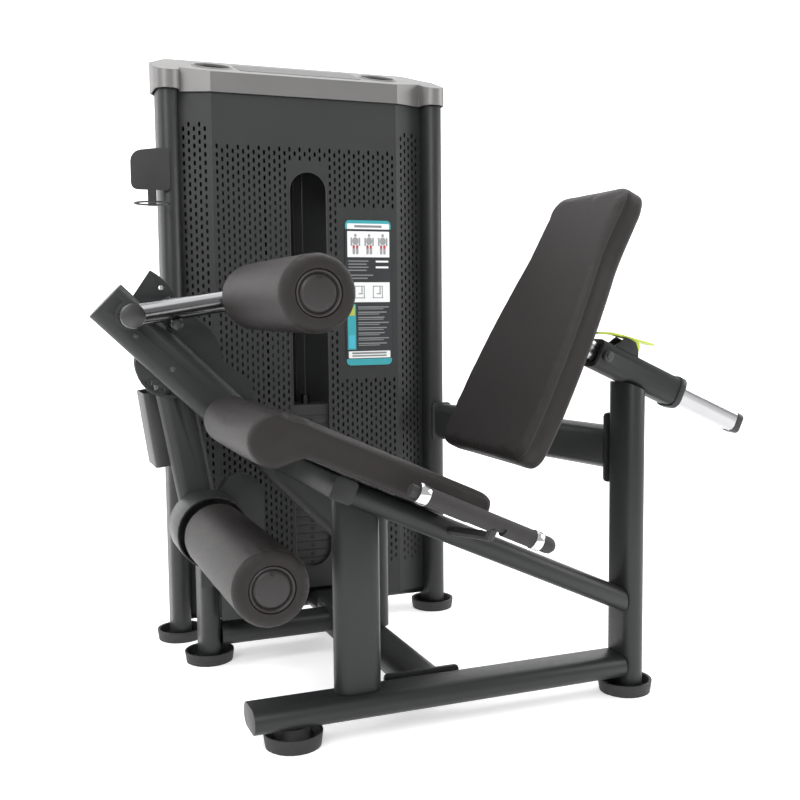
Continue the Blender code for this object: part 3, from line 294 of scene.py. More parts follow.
NODE_MATERIALS = {
    "frame_paint": FRAME_PAINT, "sheet_paint": SHEET_PAINT, "cap_silver": SILVER, "chrome": CHROME,
    "steel": ZINC, "iron": IRON, "vinyl": VINYL, "rubber": RUBBER, "plastic": PLASTIC,
    "lever_green": LEVER, "placard": PLASTIC,
}
SPECIAL = {"drive_cable": CABLE, "stack_cable": CABLE, "hand_grip_near": GRIP, "hand_grip_far": GRIP,
           "drive_shaft": FRAME_PAINT, "thigh_arm": ARM_CHROME_PAINTED_SHADE, "thigh_pivot_pin": FRAME_PAINT,
           "thigh_pin": FRAME_PAINT, "cable_guard": PLASTIC, "placard": PLASTIC,
           "handle_near": RUBBER, "handle_far": RUBBER,
           "guide_rod_left": ROD_PAINTED_SHADE, "guide_rod_right": ROD_PAINTED_SHADE, "selector_stem": ROD_PAINTED_SHADE,
           "slide_bar": BAR_CHROME, "phone_holder": RUBBER}


# ---------------------------------------------------------------- finishing the CAD nodes
def smooth_by_angle(limit):
    """Node group that shades a mesh smooth except at edges sharper than the limit in degrees."""
    group = bpy.data.node_groups.new("smooth_by_angle", "GeometryNodeTree")
    group.interface.new_socket("Geometry", in_out="INPUT", socket_type="NodeSocketGeometry")
    group.interface.new_socket("Geometry", in_out="OUTPUT", socket_type="NodeSocketGeometry")
    start, end = group.nodes.new("NodeGroupInput"), group.nodes.new("NodeGroupOutput")
    angle = group.nodes.new("GeometryNodeInputMeshEdgeAngle")
    compare = group.nodes.new("FunctionNodeCompare")
    compare.operation = "LESS_THAN"
    compare.inputs["B"].default_value = math.radians(limit)
    faces = group.nodes.new("GeometryNodeSetShadeSmooth")
    faces.domain = "FACE"
    edges = group.nodes.new("GeometryNodeSetShadeSmooth")
    edges.domain = "EDGE"
    group.links.new(start.outputs[0], faces.inputs["Geometry"])
    group.links.new(faces.outputs["Geometry"], edges.inputs["Geometry"])
    group.links.new(angle.outputs["Unsigned Angle"], compare.inputs["A"])
    group.links.new(compare.outputs["Result"], edges.inputs["Shade Smooth"])
    group.links.new(edges.outputs["Geometry"], end.inputs[0])
    return group


SMOOTH = smooth_by_angle(35)
SMOOTH_LOW = smooth_by_angle(15.5)
EDGE_WIDTHS = {"top_cap": 0.0030, "weight_plates_lower": 0.0005, "weight_plates_upper": 0.0005,
               "front_shroud": 0.0, "drive_cable": 0.0, "stack_cable": 0.0, "placard": 0.0,
               "handle_near": 0.0, "handle_far": 0.0, "hand_grip_near": 0.0, "hand_grip_far": 0.0}


def finish_node(item, width):
    """Joined corners, eased edges and smooth shading on a faceted solid."""
    if "custom_normal" in item.data.attributes:
        item.data.attributes.remove(item.data.attributes["custom_normal"])
    weld = item.modifiers.new("weld", "WELD")
    weld.merge_threshold = 0.00002
    if width:
        ease = item.modifiers.new("ease", "BEVEL")
        ease.limit_method = "ANGLE"
        ease.angle_limit = math.radians(38)
        ease.width = width
        ease.segments = 2
        ease.use_clamp_overlap = True
    shade = item.modifiers.new("shade", "NODES")
    shade.node_group = SMOOTH_LOW if item.name == "top_cap" else SMOOTH


def dress_nodes():
    slots = {entry["node"]: entry["material_slot"] for entry in frame["record"]["subparts"]}
    for name, item in NODES.items():
        material = SPECIAL.get(name) or NODE_MATERIALS[slots[name]]
        item.data.materials.clear()
        item.data.materials.append(material)
        finish_node(item, EDGE_WIDTHS.get(name, 0.0009))


# ---------------------------------------------------------------- building blocks
def new_piece(name, mesh, material, body, angle=35.0):
    """Object of a mesh already in the row frame, riding one body."""
    mesh.materials.clear()
    mesh.materials.append(material)
    mesh.name = name
    item = bpy.data.objects.new(name, mesh)
    bpy.context.scene.collection.objects.link(item)
    mesh.shade_smooth()
    mesh.set_sharp_from_angle(angle=math.radians(angle))
    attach(item, body)
    return item


def axes_at(place, direction, wide=None):
    """Matrix with local Z along direction and local X as near to wide as it can be."""
    z = Vector(direction).normalized()
    guess = Vector(wide) if wide is not None else (X_AXIS if abs(z.x) < 0.9 else Z_AXIS)
    y = z.cross(guess).normalized()
    matrix = Matrix((y.cross(z), y, z)).transposed().to_4x4()
    matrix.translation = Vector(place)
    return matrix


def moved(mesh, matrix):
    mesh.transform(matrix)
    return mesh


def lathe(profile, matrix, steps=64):
    """Mesh of a (radius, height) profile turned about the matrix's Z."""
    work = bmesh.new()
    rings = []
    for radius, height in profile:
        if radius < 1e-6:
            rings.append([work.verts.new((0, 0, height))])
            continue
        angles = [2 * math.pi * i / steps for i in range(steps)]
        rings.append([work.verts.new((radius * math.cos(a), radius * math.sin(a), height)) for a in angles])
    for lower, upper in zip(rings, rings[1:]):
        for i in range(steps):
            j = (i + 1) % steps
            corners = [lower[i % len(lower)], lower[j % len(lower)],
                       upper[j % len(upper)], upper[i % len(upper)]]
            unique = list(dict.fromkeys(corners))
            if len(unique) > 2:
                work.faces.new(unique)
    bmesh.ops.recalc_face_normals(work, faces=work.faces)
    bmesh.ops.transform(work, matrix=matrix, verts=work.verts)
    mesh = bpy.data.meshes.new("lathe")
    work.to_mesh(mesh)
    work.free()
    return mesh


def outline_mesh(loops, depth, bevel=0.0, steps=2):
    """Flat outline with holes, thickened along local Z with a rounded edge."""
    curve = bpy.data.curves.new("outline", "CURVE")
    curve.dimensions = "2D"
    curve.fill_mode = "BOTH"
    curve.extrude = max(depth / 2 - bevel, 0)
    curve.bevel_depth = bevel
    curve.bevel_resolution = steps
    curve.offset = -bevel
    for loop in loops:
        spline = curve.splines.new("POLY")
        spline.points.add(len(loop) - 1)
        for point, (x, y) in zip(spline.points, loop):
            point.co = (x, y, 0, 1)
        spline.use_cyclic_u = True
    return curve_mesh(curve)


def curve_mesh(curve):
    holder = bpy.data.objects.new("holder", curve)
    bpy.context.scene.collection.objects.link(holder)
    graph = bpy.context.evaluated_depsgraph_get()
    mesh = bpy.data.meshes.new_from_object(holder.evaluated_get(graph))
    bpy.data.objects.remove(holder)
    return mesh


def round_bar(points, radius, closed=False, resolution=3):
    """Thin round bar or bead through points."""
    curve = bpy.data.curves.new("bar", "CURVE")
    curve.dimensions = "3D"
    curve.bevel_depth = radius
    curve.bevel_resolution = resolution
    curve.use_fill_caps = True
    spline = curve.splines.new("POLY")
    spline.points.add(len(points) - 1)
    for point, place in zip(spline.points, points):
        point.co = (*place, 1)
    spline.use_cyclic_u = closed
    return curve_mesh(curve)


def merged(meshes):
    """One mesh from several that are already in place."""
    work = bmesh.new()
    for mesh in meshes:
        work.from_mesh(mesh)
    result = bpy.data.meshes.new("merged")
    work.to_mesh(result)
    work.free()
    return result


def arc(centre, radius, start, end, count):
    angles = [math.radians(start + (end - start) * i / count) for i in range(count + 1)]
    return [(centre[0] + radius * math.cos(a), centre[1] + radius * math.sin(a)) for a in angles]


def rounded_rectangle(width, height, radius, count=4, centre=(0, 0)):
    x, y = width / 2 - radius, height / 2 - radius
    points = []
    for (cx, cy), start in (((x, y), 0), ((-x, y), 90), ((-x, -y), 180), ((x, -y), 270)):
        points += arc((cx + centre[0], cy + centre[1]), radius, start, start + 90, count)
    return points


def hex_bolt(place, direction, size=0.009):
    """Hexagon head on a washer."""
    matrix = axes_at(place, direction)
    washer = lathe([(0, 0), (size * 1.25, 0), (size * 1.25, 0.0012), (size * 1.1, 0.0018), (0, 0.0018)],
                   matrix, 28)
    head = lathe([(0, 0.0018), (size, 0.0018), (size, size * 0.62), (size * 0.88, size * 0.72),
                  (0, size * 0.72)], matrix, 6)
    return merged([washer, head])


# ---------------------------------------------------------------- upholstery
def stuffed(mesh, voxel, cap, pressure=4.0, hold=None):
    """Skin of a cushion blown up by cloth simulation, with each point's travel capped."""
    item = bpy.data.objects.new("cushion", mesh)
    bpy.context.scene.collection.objects.link(item)
    bpy.context.view_layer.update()
    remesh = item.modifiers.new("remesh", "REMESH")
    remesh.mode = "VOXEL"
    remesh.voxel_size = voxel
    graph = bpy.context.evaluated_depsgraph_get()
    item.data = bpy.data.meshes.new_from_object(item.evaluated_get(graph))
    item.modifiers.clear()
    count = len(item.data.vertices)
    rest = np.empty(count * 3)
    item.data.vertices.foreach_get("co", rest)
    rest = rest.reshape(-1, 3)
    cloth = item.modifiers.new("cloth", "CLOTH")
    cloth.settings.use_pressure = True
    cloth.settings.uniform_pressure_force = pressure
    cloth.settings.quality = 4
    cloth.settings.mass = 0.3
    cloth.settings.tension_stiffness = 18
    cloth.settings.compression_stiffness = 18
    cloth.settings.bending_stiffness = 1.5
    cloth.settings.effector_weights.gravity = 0
    cloth.point_cache.frame_start = 1
    cloth.point_cache.frame_end = 20
    for step in range(1, 21):
        bpy.context.scene.frame_set(step)
    graph = bpy.context.evaluated_depsgraph_get()
    blown = item.evaluated_get(graph).to_mesh()
    final = np.empty(count * 3)
    blown.vertices.foreach_get("co", final)
    final = final.reshape(-1, 3)
    item.evaluated_get(graph).to_mesh_clear()
    item.modifiers.clear()
    bpy.context.scene.frame_set(1)
    move = final - rest
    length = np.linalg.norm(move, axis=1, keepdims=True)
    move *= np.minimum(1.0, cap / np.maximum(length, 1e-9))
    if hold is not None:
        move *= hold(rest)[:, None]
    item.data.vertices.foreach_set("co", (rest + move).ravel())
    item.data.update()
    smooth = item.modifiers.new("smooth", "SMOOTH")
    smooth.factor = 0.5
    smooth.iterations = 4
    finer = item.modifiers.new("finer", "SUBSURF")
    finer.levels = finer.render_levels = 1
    graph = bpy.context.evaluated_depsgraph_get()
    result = bpy.data.meshes.new_from_object(item.evaluated_get(graph))
    bpy.data.objects.remove(item)
    return result


def bead_on(mesh, points, radius, closed=True, lift=0.0):
    """Welt that lies on a finished skin along a line of points near it."""
    work = bmesh.new()
    work.from_mesh(mesh)
    tree = BVHTree.FromBMesh(work)
    work.free()
    places = []
    for point in points:
        place, normal, _, _ = tree.find_nearest(Vector(point))
        places.append(place + normal * lift)
    if closed:
        count = len(places)
        places = [(places[i - 1] + places[i] * 2 + places[(i + 1) % count]) / 4 for i in range(count)]
    return round_bar(places, radius, closed)


def dense(loop, spacing):
    """Closed line with extra points so that none are further apart than the spacing."""
    result = []
    for i, point in enumerate(loop):
        a, b = Vector(point), Vector(loop[(i + 1) % len(loop)])
        count = max(1, int((b - a).length / spacing))
        result += [a.lerp(b, k / count) for k in range(count)]
    return result


# seat cushion, drawn in the seat's side plane
PAD_LEVEL = 0.547
PAD_THICKNESS = 0.065
KNEE_ROLL = (-0.358, 0.648)
KNEE_ROLL_RADIUS = 0.052
PAD_REAR_X = 0.083
PAD_JOIN_X = -0.300
SEAT_HALF_WIDTH = 0.210


def seat_outline(inset):
    thick = PAD_THICKNESS / math.cos(SLOPE)
    top = PAD_LEVEL - inset / math.cos(SLOPE)
    thick -= 2 * inset / math.cos(SLOPE)
    rear_x = PAD_REAR_X - inset
    rear = Vector((rear_x, top - math.tan(SLOPE) * rear_x))
    down = Vector((-UP.x, -UP.z))
    along = Vector((ALONG.x, ALONG.z))
    tall = PAD_THICKNESS - 2 * inset
    corner = [rear - along * 0.018, rear - along * 0.005 + down * 0.003, rear + down * 0.016,
              rear + down * (tall - 0.016), rear + down * tall - along * 0.014]
    roll = arc(KNEE_ROLL, KNEE_ROLL_RADIUS - inset, 60, 300, 20)
    upper = (PAD_JOIN_X, top - math.tan(SLOPE) * PAD_JOIN_X)
    lower = (PAD_JOIN_X, upper[1] - thick)
    return [upper] + roll + [lower] + [tuple(q) for q in reversed(corner)]


def seat_cushion():
    inset = 0.0022
    flat = outline_mesh([[(x, -z) for x, z in seat_outline(inset)]], 2 * (SEAT_HALF_WIDTH - inset), 0.012, 3)
    side_plane = Matrix(((1, 0, 0, 0), (0, 0, -1, 0), (0, -1, 0, 0), (0, 0, 0, 1)))
    flat.transform(side_plane)
    flat.transform(Matrix.Translation(-FOOTPRINT_CENTRE))
    flat.flip_normals()
    under = spot(0, 0, PAD_LEVEL) - UP * PAD_THICKNESS
    normal = np.array(UP)

    def held(rest):
        """Nothing swells on the board under the seat."""
        height = (rest - np.array(under)) @ normal
        beyond = rest[:, 0] < PAD_JOIN_X - FOOTPRINT_CENTRE.x
        return np.where(beyond, 1.0, np.clip(height / 0.020, 0.0, 1.0))

    skin = stuffed(flat, 0.005, 0.0045, hold=held)
    beads = []
    for side in (-1, 1):
        y = side * (SEAT_HALF_WIDTH - 0.006)
        rim = dense([spot(x, y, z) for x, z in seat_outline(0.005)], 0.008)
        beads.append(bead_on(skin, rim, 0.0011, lift=-0.0004))
    item = new_piece("seat_cushion", skin, VINYL, "root", 60)
    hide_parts("seat_pad")
    new_piece("seat_welt", merged(beads), WELT, "root", 60)
    tuck = [spot(PAD_JOIN_X - 0.004, y, PAD_LEVEL - math.tan(SLOPE) * PAD_JOIN_X + 0.004)
            for y in np.linspace(-SEAT_HALF_WIDTH + 0.010, SEAT_HALF_WIDTH - 0.010, 50)]
    new_piece("seat_tuck_seam", bead_on(item.data, tuck, 0.0012, False, -0.0006), WELT, "root", 60)
    board = outline_mesh([rounded_rectangle(0.350, 0.386, 0.020)], 0.0030, 0.0008)
    middle = spot(-0.105, 0, PAD_LEVEL + 0.105 * math.tan(SLOPE)) - UP * (PAD_THICKNESS - 0.0020)
    new_piece("seat_board", moved(board, axes_at(middle, UP, ALONG)), PLASTIC, "root")


# backrest, drawn in its own face plane: X across, Y up the face
BACK_LEAN = math.radians(27.0)
BACK_ALONG = Vector((math.cos(BACK_LEAN), 0, -math.sin(BACK_LEAN)))
BACK_UP = Vector((math.sin(BACK_LEAN), 0, math.cos(BACK_LEAN)))
BACK_LENGTH = 0.630
BACK_THICKNESS = 0.055
SLIDE_AXIS_Z = 0.9690
BACK_HUB = spot(0, 0, SLIDE_AXIS_Z) + ALONG * 0.350
BACK_FACE = BACK_HUB - BACK_ALONG * BACK_THICKNESS + BACK_UP * 0.0055


def back_outline(inset=0.0):
    half = BACK_LENGTH / 2
    right = arc((0.164, -half + 0.042), 0.042 - inset, 270, 358, 8)
    right += [(x - inset, y) for x, y in (
        (0.2080, -half + 0.105), (0.2050, -0.150), (0.2010, -0.100), (0.1945, -0.040),
        (0.1870, 0.012), (0.1790, 0.056), (0.1710, 0.096), (0.1630, 0.130),
        (0.1592, 0.160), (0.1577, 0.190), (0.1575, 0.215))]
    right += arc((0.112, half - 0.045), 0.045 - inset, 2, 90, 8)
    return right + [(-x, y) for x, y in reversed(right)]


def back_cushion():
    inset = 0.0020
    face = axes_at(BACK_FACE + BACK_ALONG * BACK_THICKNESS / 2, BACK_ALONG, Y_AXIS)
    flat = outline_mesh([back_outline(inset)], BACK_THICKNESS - 2 * inset, 0.013, 3)
    rear = np.array(BACK_FACE + BACK_ALONG * BACK_THICKNESS)
    normal = np.array(BACK_ALONG)

    def held(rest):
        """Nothing swells on the board behind the backrest."""
        return np.clip((rear - rest) @ normal / 0.018, 0.0, 1.0)

    skin = stuffed(moved(flat, face), 0.005, 0.0045, hold=held)
    rims = []
    for depth, small in ((0.004, 0.004), (BACK_THICKNESS - 0.006, 0.004)):
        plane = axes_at(BACK_FACE + BACK_ALONG * depth, BACK_ALONG, Y_AXIS)
        loop = dense([plane @ Vector((x, y, 0)) for x, y in back_outline(small)], 0.008)
        rims.append(bead_on(skin, loop, 0.0011, lift=-0.0004))
    item = new_piece("back_cushion", skin, VINYL, "backrest", 60)
    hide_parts("back_pad")
    new_piece("back_welt", merged(rims), WELT, "backrest", 60)
    board = outline_mesh([[(x * 0.945, y * 0.960) for x, y in back_outline(0.004)]], 0.0040, 0.001)
    middle = BACK_FACE + BACK_ALONG * (BACK_THICKNESS - 0.0022)
    new_piece("back_board", moved(board, axes_at(middle, BACK_ALONG, Y_AXIS)), PLASTIC, "backrest")
    bolts = []
    for x in (-0.040, 0.040):
        for y in (-0.060, 0.060):
            seat = BACK_HUB + BACK_ALONG * 0.0068 + BACK_UP * x + Y_AXIS * y
            bolts.append(hex_bolt(seat, BACK_ALONG, 0.006))
    new_piece("back_plate_bolts", merged(bolts), BOLT, "backrest")
    cover = outline_mesh([rounded_rectangle(0.162, 0.112, 0.013), rounded_rectangle(0.0465, 0.0465, 0.0104)],
                         0.0070, 0.0010)
    place = axes_at(BACK_HUB + BACK_ALONG * 0.0035, BACK_ALONG, Y_AXIS)
    new_piece("back_plate_cover", moved(cover, place), FRAME_PAINT, "backrest")
    stop = outline_mesh([rounded_rectangle(0.058, 0.058, 0.014), rounded_rectangle(0.0465, 0.0465, 0.0104)],
                        0.046, 0.0020)
    stop_axes = axes_at(BACK_HUB + ALONG * 0.0335, ALONG, Y_AXIS)
    new_piece("back_stop_rubber", moved(stop, stop_axes), RUBBER, "backrest")


# ---------------------------------------------------------------- rollers
ROLL_RADIUS = 0.075
ROLL_NEAR_Y = -0.190
ROLL_FAR_Y = 0.316
ROLL_WELL = 0.0430
ROLL_AXES = {"ankle_roller": (-0.362, 0.376, "ankle_roll"), "thigh_roller": (-0.265, 0.908, "thigh_roll")}


def roller(name):
    """Foam roller in a stitched vinyl sleeve, with a domed cap sunk in its near end."""
    x, z, body = ROLL_AXES[name]
    near, far = spot(x, ROLL_NEAR_Y, z), spot(x, ROLL_FAR_Y, z)
    length = (far - near).length
    matrix = axes_at(near, Y_AXIS)
    r = ROLL_RADIUS - 0.0022
    edge = 0.019
    profile = [(ROLL_WELL + 0.0005, 0.012), (ROLL_WELL + 0.0005, 0.004), (ROLL_WELL + 0.002, 0.0012)]
    profile += [(r - edge + edge * math.sin(a), 0.0010 + edge * (1 - math.cos(a)))
                for a in (math.radians(6 * i) for i in range(1, 15))]
    rows = 70
    for i in range(rows + 1):
        share = i / rows
        crown = 0.0009 * math.sin(math.pi * share)
        profile.append((r + crown, 0.001 + edge + (length - 2 * edge - 0.002) * share))
    profile += [(r - edge + edge * math.sin(a), length - 0.001 - edge * (1 - math.cos(a)))
                for a in (math.radians(90 - 6 * i) for i in range(1, 15))]
    profile += [(0.030, length - 0.0006), (0.0135, length - 0.0010), (0.0135, length - 0.012)]
    mesh = lathe(profile, Matrix.Identity(4), 128)
    count = len(mesh.vertices)
    points = np.empty(count * 3)
    mesh.vertices.foreach_get("co", points)
    points = points.reshape(-1, 3)
    radius = np.hypot(points[:, 0], points[:, 1])
    angle = np.arctan2(points[:, 1], points[:, 0])
    along = points[:, 2]
    outer = np.clip((radius - 0.052) / 0.014, 0, 1)
    ends = np.exp(-along / 0.035) + np.exp(-(length - along) / 0.035)
    gathers = np.sin(angle * 17 + 2 * np.sin(angle * 3)) * 0.00055 * ends
    drape = 0.00035 * np.sin(angle * 4 + along * 21) * np.sin(along * 33 + 1.2 * np.sin(angle * 2))
    scale = 1 + outer * (gathers + drape) / np.maximum(radius, 0.02)
    points[:, 0] *= scale
    points[:, 1] *= scale
    mesh.vertices.foreach_set("co", points.ravel())
    mesh.update()
    item = new_piece(name + "_sleeve", moved(mesh, matrix), VINYL, body, 60)
    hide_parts(name)
    seams = []
    for height in (0.0155, length - 0.0155):
        ring = [matrix @ Vector(((r - 0.0009) * math.cos(a), (r - 0.0009) * math.sin(a), height))
                for a in (2 * math.pi * i / 96 for i in range(96))]
        seams.append(round_bar(ring, 0.0010, True))
    new_piece(name + "_end_seams", merged(seams), WELT, body, 60)

    dome = [(0.0, -0.0012)] + [(0.036 * math.sin(a), -0.0012 + 0.0050 * (1 - math.cos(a)))
                               for a in (math.radians(6 * i) for i in range(1, 11))]
    dome += [(0.0345, 0.0042), (0.0362, 0.0056), (0.0375, 0.0040), (0.0392, 0.0010), (0.0412, 0.0002),
             (0.0428, 0.0014), (0.0430, 0.0085), (0.0, 0.0085)]
    cap = new_piece(name + "_end_cap", lathe(dome, axes_at(near + Y_AXIS * 0.001, Y_AXIS), 72),
                    CAP_PLASTIC, body, 40)
    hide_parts(name + "_cap")
    # near-black dimple in the cap: painted shade inside the cap's hole
    dimple = axes_at(near + Vector((0, 0.0012, 0.0285)), -Y_AXIS)
    hole = lathe([(0, 0.0004), (0.0020, 0.0004), (0.0024, 0.0012),
                  (0.0034, 0.0012), (0.0036, -0.0010), (0, -0.0010)], dimple, 24)
    new_piece(name + "_cap_hole", hole, HOLE_PAINTED_SHADE, body)


# ---------------------------------------------------------------- perforated front cover
TOWER_FRONT_Y = 0.765
FOLD_X = 0.257
EDGE_X, EDGE_Y = 0.343, 0.797
COVER_BOTTOM, COVER_TOP = 0.063, 1.4417
SLOT_HALF, SLOT_BOTTOM, SLOT_TOP = 0.0515, 0.164, 1.247
PITCH_X, PITCH_Z = 0.014, 0.022
HOLE_WIDE, HOLE_TALL = 0.0060, 0.0134
GRID_BOTTOM = 0.150
PLAIN_BOTTOM = 0.112
COVER_SHEET = 0.0015
SURROUND = (-0.056, 0.056, 0.142, 1.267)
PLAIN_PLATE = (0.098, 0.252, 0.700, 1.142)


class Sheet:
    """Perforated sheet drawn cell by cell, each facet given by where its own X runs."""

    def __init__(self):
        self.points = []
        self.faces = []

    def quad(self, place, x0, x1, z0, z1, y=0.0):
        if x1 - x0 < 1e-5 or z1 - z0 < 1e-5:
            return
        start = len(self.points)
        self.points += [place(x, z, y) for x, z in ((x0, z0), (x1, z0), (x1, z1), (x0, z1))]
        self.faces.append(tuple(range(start, start + 4)))

    def cell(self, place, x0, x1, z0, z1):
        """Square cell with an upright oval hole and the hole's wall."""
        cx, cz = (x0 + x1) / 2, (z0 + z1) / 2
        radius, straight = HOLE_WIDE / 2, (HOLE_TALL - HOLE_WIDE) / 2
        slant = (radius * math.cos(math.radians(60)), straight + radius * math.sin(math.radians(60)))
        oval = [(cx + radius, cz - straight), (cx + radius, cz + straight),
                (cx + slant[0], cz + slant[1]), (cx - slant[0], cz + slant[1]),
                (cx - radius, cz + straight), (cx - radius, cz - straight),
                (cx - slant[0], cz - slant[1]), (cx + slant[0], cz - slant[1])]
        rim = [(x1, z0), (x1, z1), (cx + radius, z1), (cx - radius, z1), (x0, z1), (x0, z0),
               (cx - radius, z0), (cx + radius, z0)]
        start = len(self.points)
        self.points += [place(x, z, 0) for x, z in rim]
        self.points += [place(x, z, 0) for x, z in oval]
        self.points += [place(x, z, COVER_SHEET) for x, z in oval]
        for i in range(8):
            j = (i + 1) % 8
            self.faces.append((start + i, start + j, start + 8 + j, start + 8 + i))
            self.faces.append((start + 8 + i, start + 8 + j, start + 16 + j, start + 16 + i))

    def column(self, place, x0, x1, shift, top, blocked):
        """Cells from the bottom of the grid to its top, left plain where they are blocked."""
        z = GRID_BOTTOM + shift
        self.quad(place, x0, x1, PLAIN_BOTTOM, z)
        while z + PITCH_Z <= top + 1e-6:
            if blocked(x0, x1, z, z + PITCH_Z):
                self.quad(place, x0, x1, z, z + PITCH_Z)
            else:
                self.cell(place, x0, x1, z, z + PITCH_Z)
            z += PITCH_Z
        self.quad(place, x0, x1, z, COVER_TOP)

    def mesh(self):
        mesh = bpy.data.meshes.new("sheet")
        mesh.from_pydata([tuple(p) for p in self.points], [], self.faces)
        return mesh


def front_cover():
    """Folded front sheet: a wide middle, a narrow chamfer on each side, staggered oval holes."""
    sheet = Sheet()
    across = lambda x, z, y: spot(x, TOWER_FRONT_Y + y, z)

    def near_plate(x0, x1, z0, z1):
        return x1 > PLAIN_PLATE[0] and x0 < PLAIN_PLATE[1] and z1 > PLAIN_PLATE[2] and z0 < PLAIN_PLATE[3]

    columns = 36
    first = -columns * PITCH_X / 2
    middle_top = GRID_BOTTOM + 53 * PITCH_Z
    for i in range(columns):
        x0, x1 = first + i * PITCH_X, first + (i + 1) * PITCH_X
        shift = PITCH_Z / 2 if i % 2 else 0.0
        inside = x1 > SURROUND[0] + 1e-6 and x0 < SURROUND[1] - 1e-6
        if not inside:
            sheet.column(across, x0, x1, shift, middle_top, near_plate)
            continue
        sheet.quad(across, x0, x1, PLAIN_BOTTOM, SURROUND[2])
        z = GRID_BOTTOM + shift
        while z < SURROUND[3]:
            z += PITCH_Z
        sheet.quad(across, x0, x1, SURROUND[3], z)
        while z + PITCH_Z <= middle_top + 1e-6:
            sheet.cell(across, x0, x1, z, z + PITCH_Z)
            z += PITCH_Z
        sheet.quad(across, x0, x1, z, COVER_TOP)
    for side in (-1, 1):
        sheet.quad(across, *sorted((side * -first, side * FOLD_X)), PLAIN_BOTTOM, COVER_TOP)
        run = Vector((EDGE_X - FOLD_X, EDGE_Y - TOWER_FRONT_Y))
        length = run.length
        step = run / length

        def slanted(u, z, y, side=side, step=step):
            """u runs outward from the fold on either side."""
            x = FOLD_X + step.x * u - step.y * y
            return spot(side * x, TOWER_FRONT_Y + step.y * u + step.x * y, z)

        margin = (length - 5 * PITCH_X) / 2
        for i in range(5):
            u0 = margin + i * PITCH_X
            shift = PITCH_Z / 2 if i % 2 else 0.0
            sheet.column(slanted, u0, u0 + PITCH_X, shift, GRID_BOTTOM + 55.5 * PITCH_Z, lambda *cell: False)
        sheet.quad(slanted, 0, margin, PLAIN_BOTTOM, COVER_TOP)
        sheet.quad(slanted, length - margin, length, PLAIN_BOTTOM, COVER_TOP)
        sheet.quad(slanted, 0, length, COVER_BOTTOM, PLAIN_BOTTOM)
        lip = spot(side * EDGE_X, EDGE_Y, 0), spot(side * (EDGE_X - 0.001), EDGE_Y + 0.020, 0)
        start = len(sheet.points)
        sheet.points += [lip[0] + Z_AXIS * COVER_BOTTOM, lip[1] + Z_AXIS * COVER_BOTTOM,
                         lip[1] + Z_AXIS * COVER_TOP, lip[0] + Z_AXIS * COVER_TOP]
        sheet.faces.append(tuple(range(start, start + 4)))
    notch = [(-FOLD_X, COVER_BOTTOM), (-0.023, COVER_BOTTOM), (-0.023, 0.105), (0.087, 0.105),
             (0.087, COVER_BOTTOM), (FOLD_X, COVER_BOTTOM), (FOLD_X, PLAIN_BOTTOM), (-FOLD_X, PLAIN_BOTTOM)]
    upright = Matrix(((1, 0, 0, 0), (0, 0, 1, 0), (0, 1, 0, 0), (0, 0, 0, 1)))
    low = moved(outline_mesh([notch], COVER_SHEET), upright)
    low.transform(Matrix.Translation(spot(0, TOWER_FRONT_Y + COVER_SHEET / 2, 0)))
    x0, x1, z0, z1 = SURROUND
    slot = [(x, (SLOT_TOP + SLOT_BOTTOM) / 2 + z) for x, z in
            arc((0, (SLOT_TOP - SLOT_BOTTOM) / 2 - SLOT_HALF), SLOT_HALF, 0, 180, 24)
            + arc((0, -(SLOT_TOP - SLOT_BOTTOM) / 2 + SLOT_HALF), SLOT_HALF, 180, 360, 24)]
    surround = moved(outline_mesh([[(x0, z0), (x1, z0), (x1, z1), (x0, z1)], slot], COVER_SHEET), upright)
    surround.transform(Matrix.Translation(spot(0, TOWER_FRONT_Y + COVER_SHEET / 2, 0)))
    item = new_piece("perforated_front_cover", merged([sheet.mesh(), low, surround]), SHEET_PAINT, "root",
                     8)
    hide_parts("front_shroud")

    trim = [spot(x, TOWER_FRONT_Y + 0.0004, z) for x, z in slot]
    new_piece("slot_edge", round_bar(trim, 0.0016, True), PLASTIC, "root", 60)
    grommet = lathe([(0.0075, 0.004), (0.0135, 0.004), (0.0150, 0.0015),
                     (0.0150, -0.0015), (0.0075, -0.0015)],
                    axes_at(spot(-0.250, TOWER_FRONT_Y - 0.001, 0.160), -Y_AXIS), 32)
    new_piece("cable_grommet", grommet, RUBBER, "root")


# ---------------------------------------------------------------- instruction plate
PLATE_X, PLATE_Z, PLATE_FRONT = 0.1705, 0.921, TOWER_FRONT_Y - 0.0023
PLATE_WIDE, PLATE_TALL = 0.134, 0.400


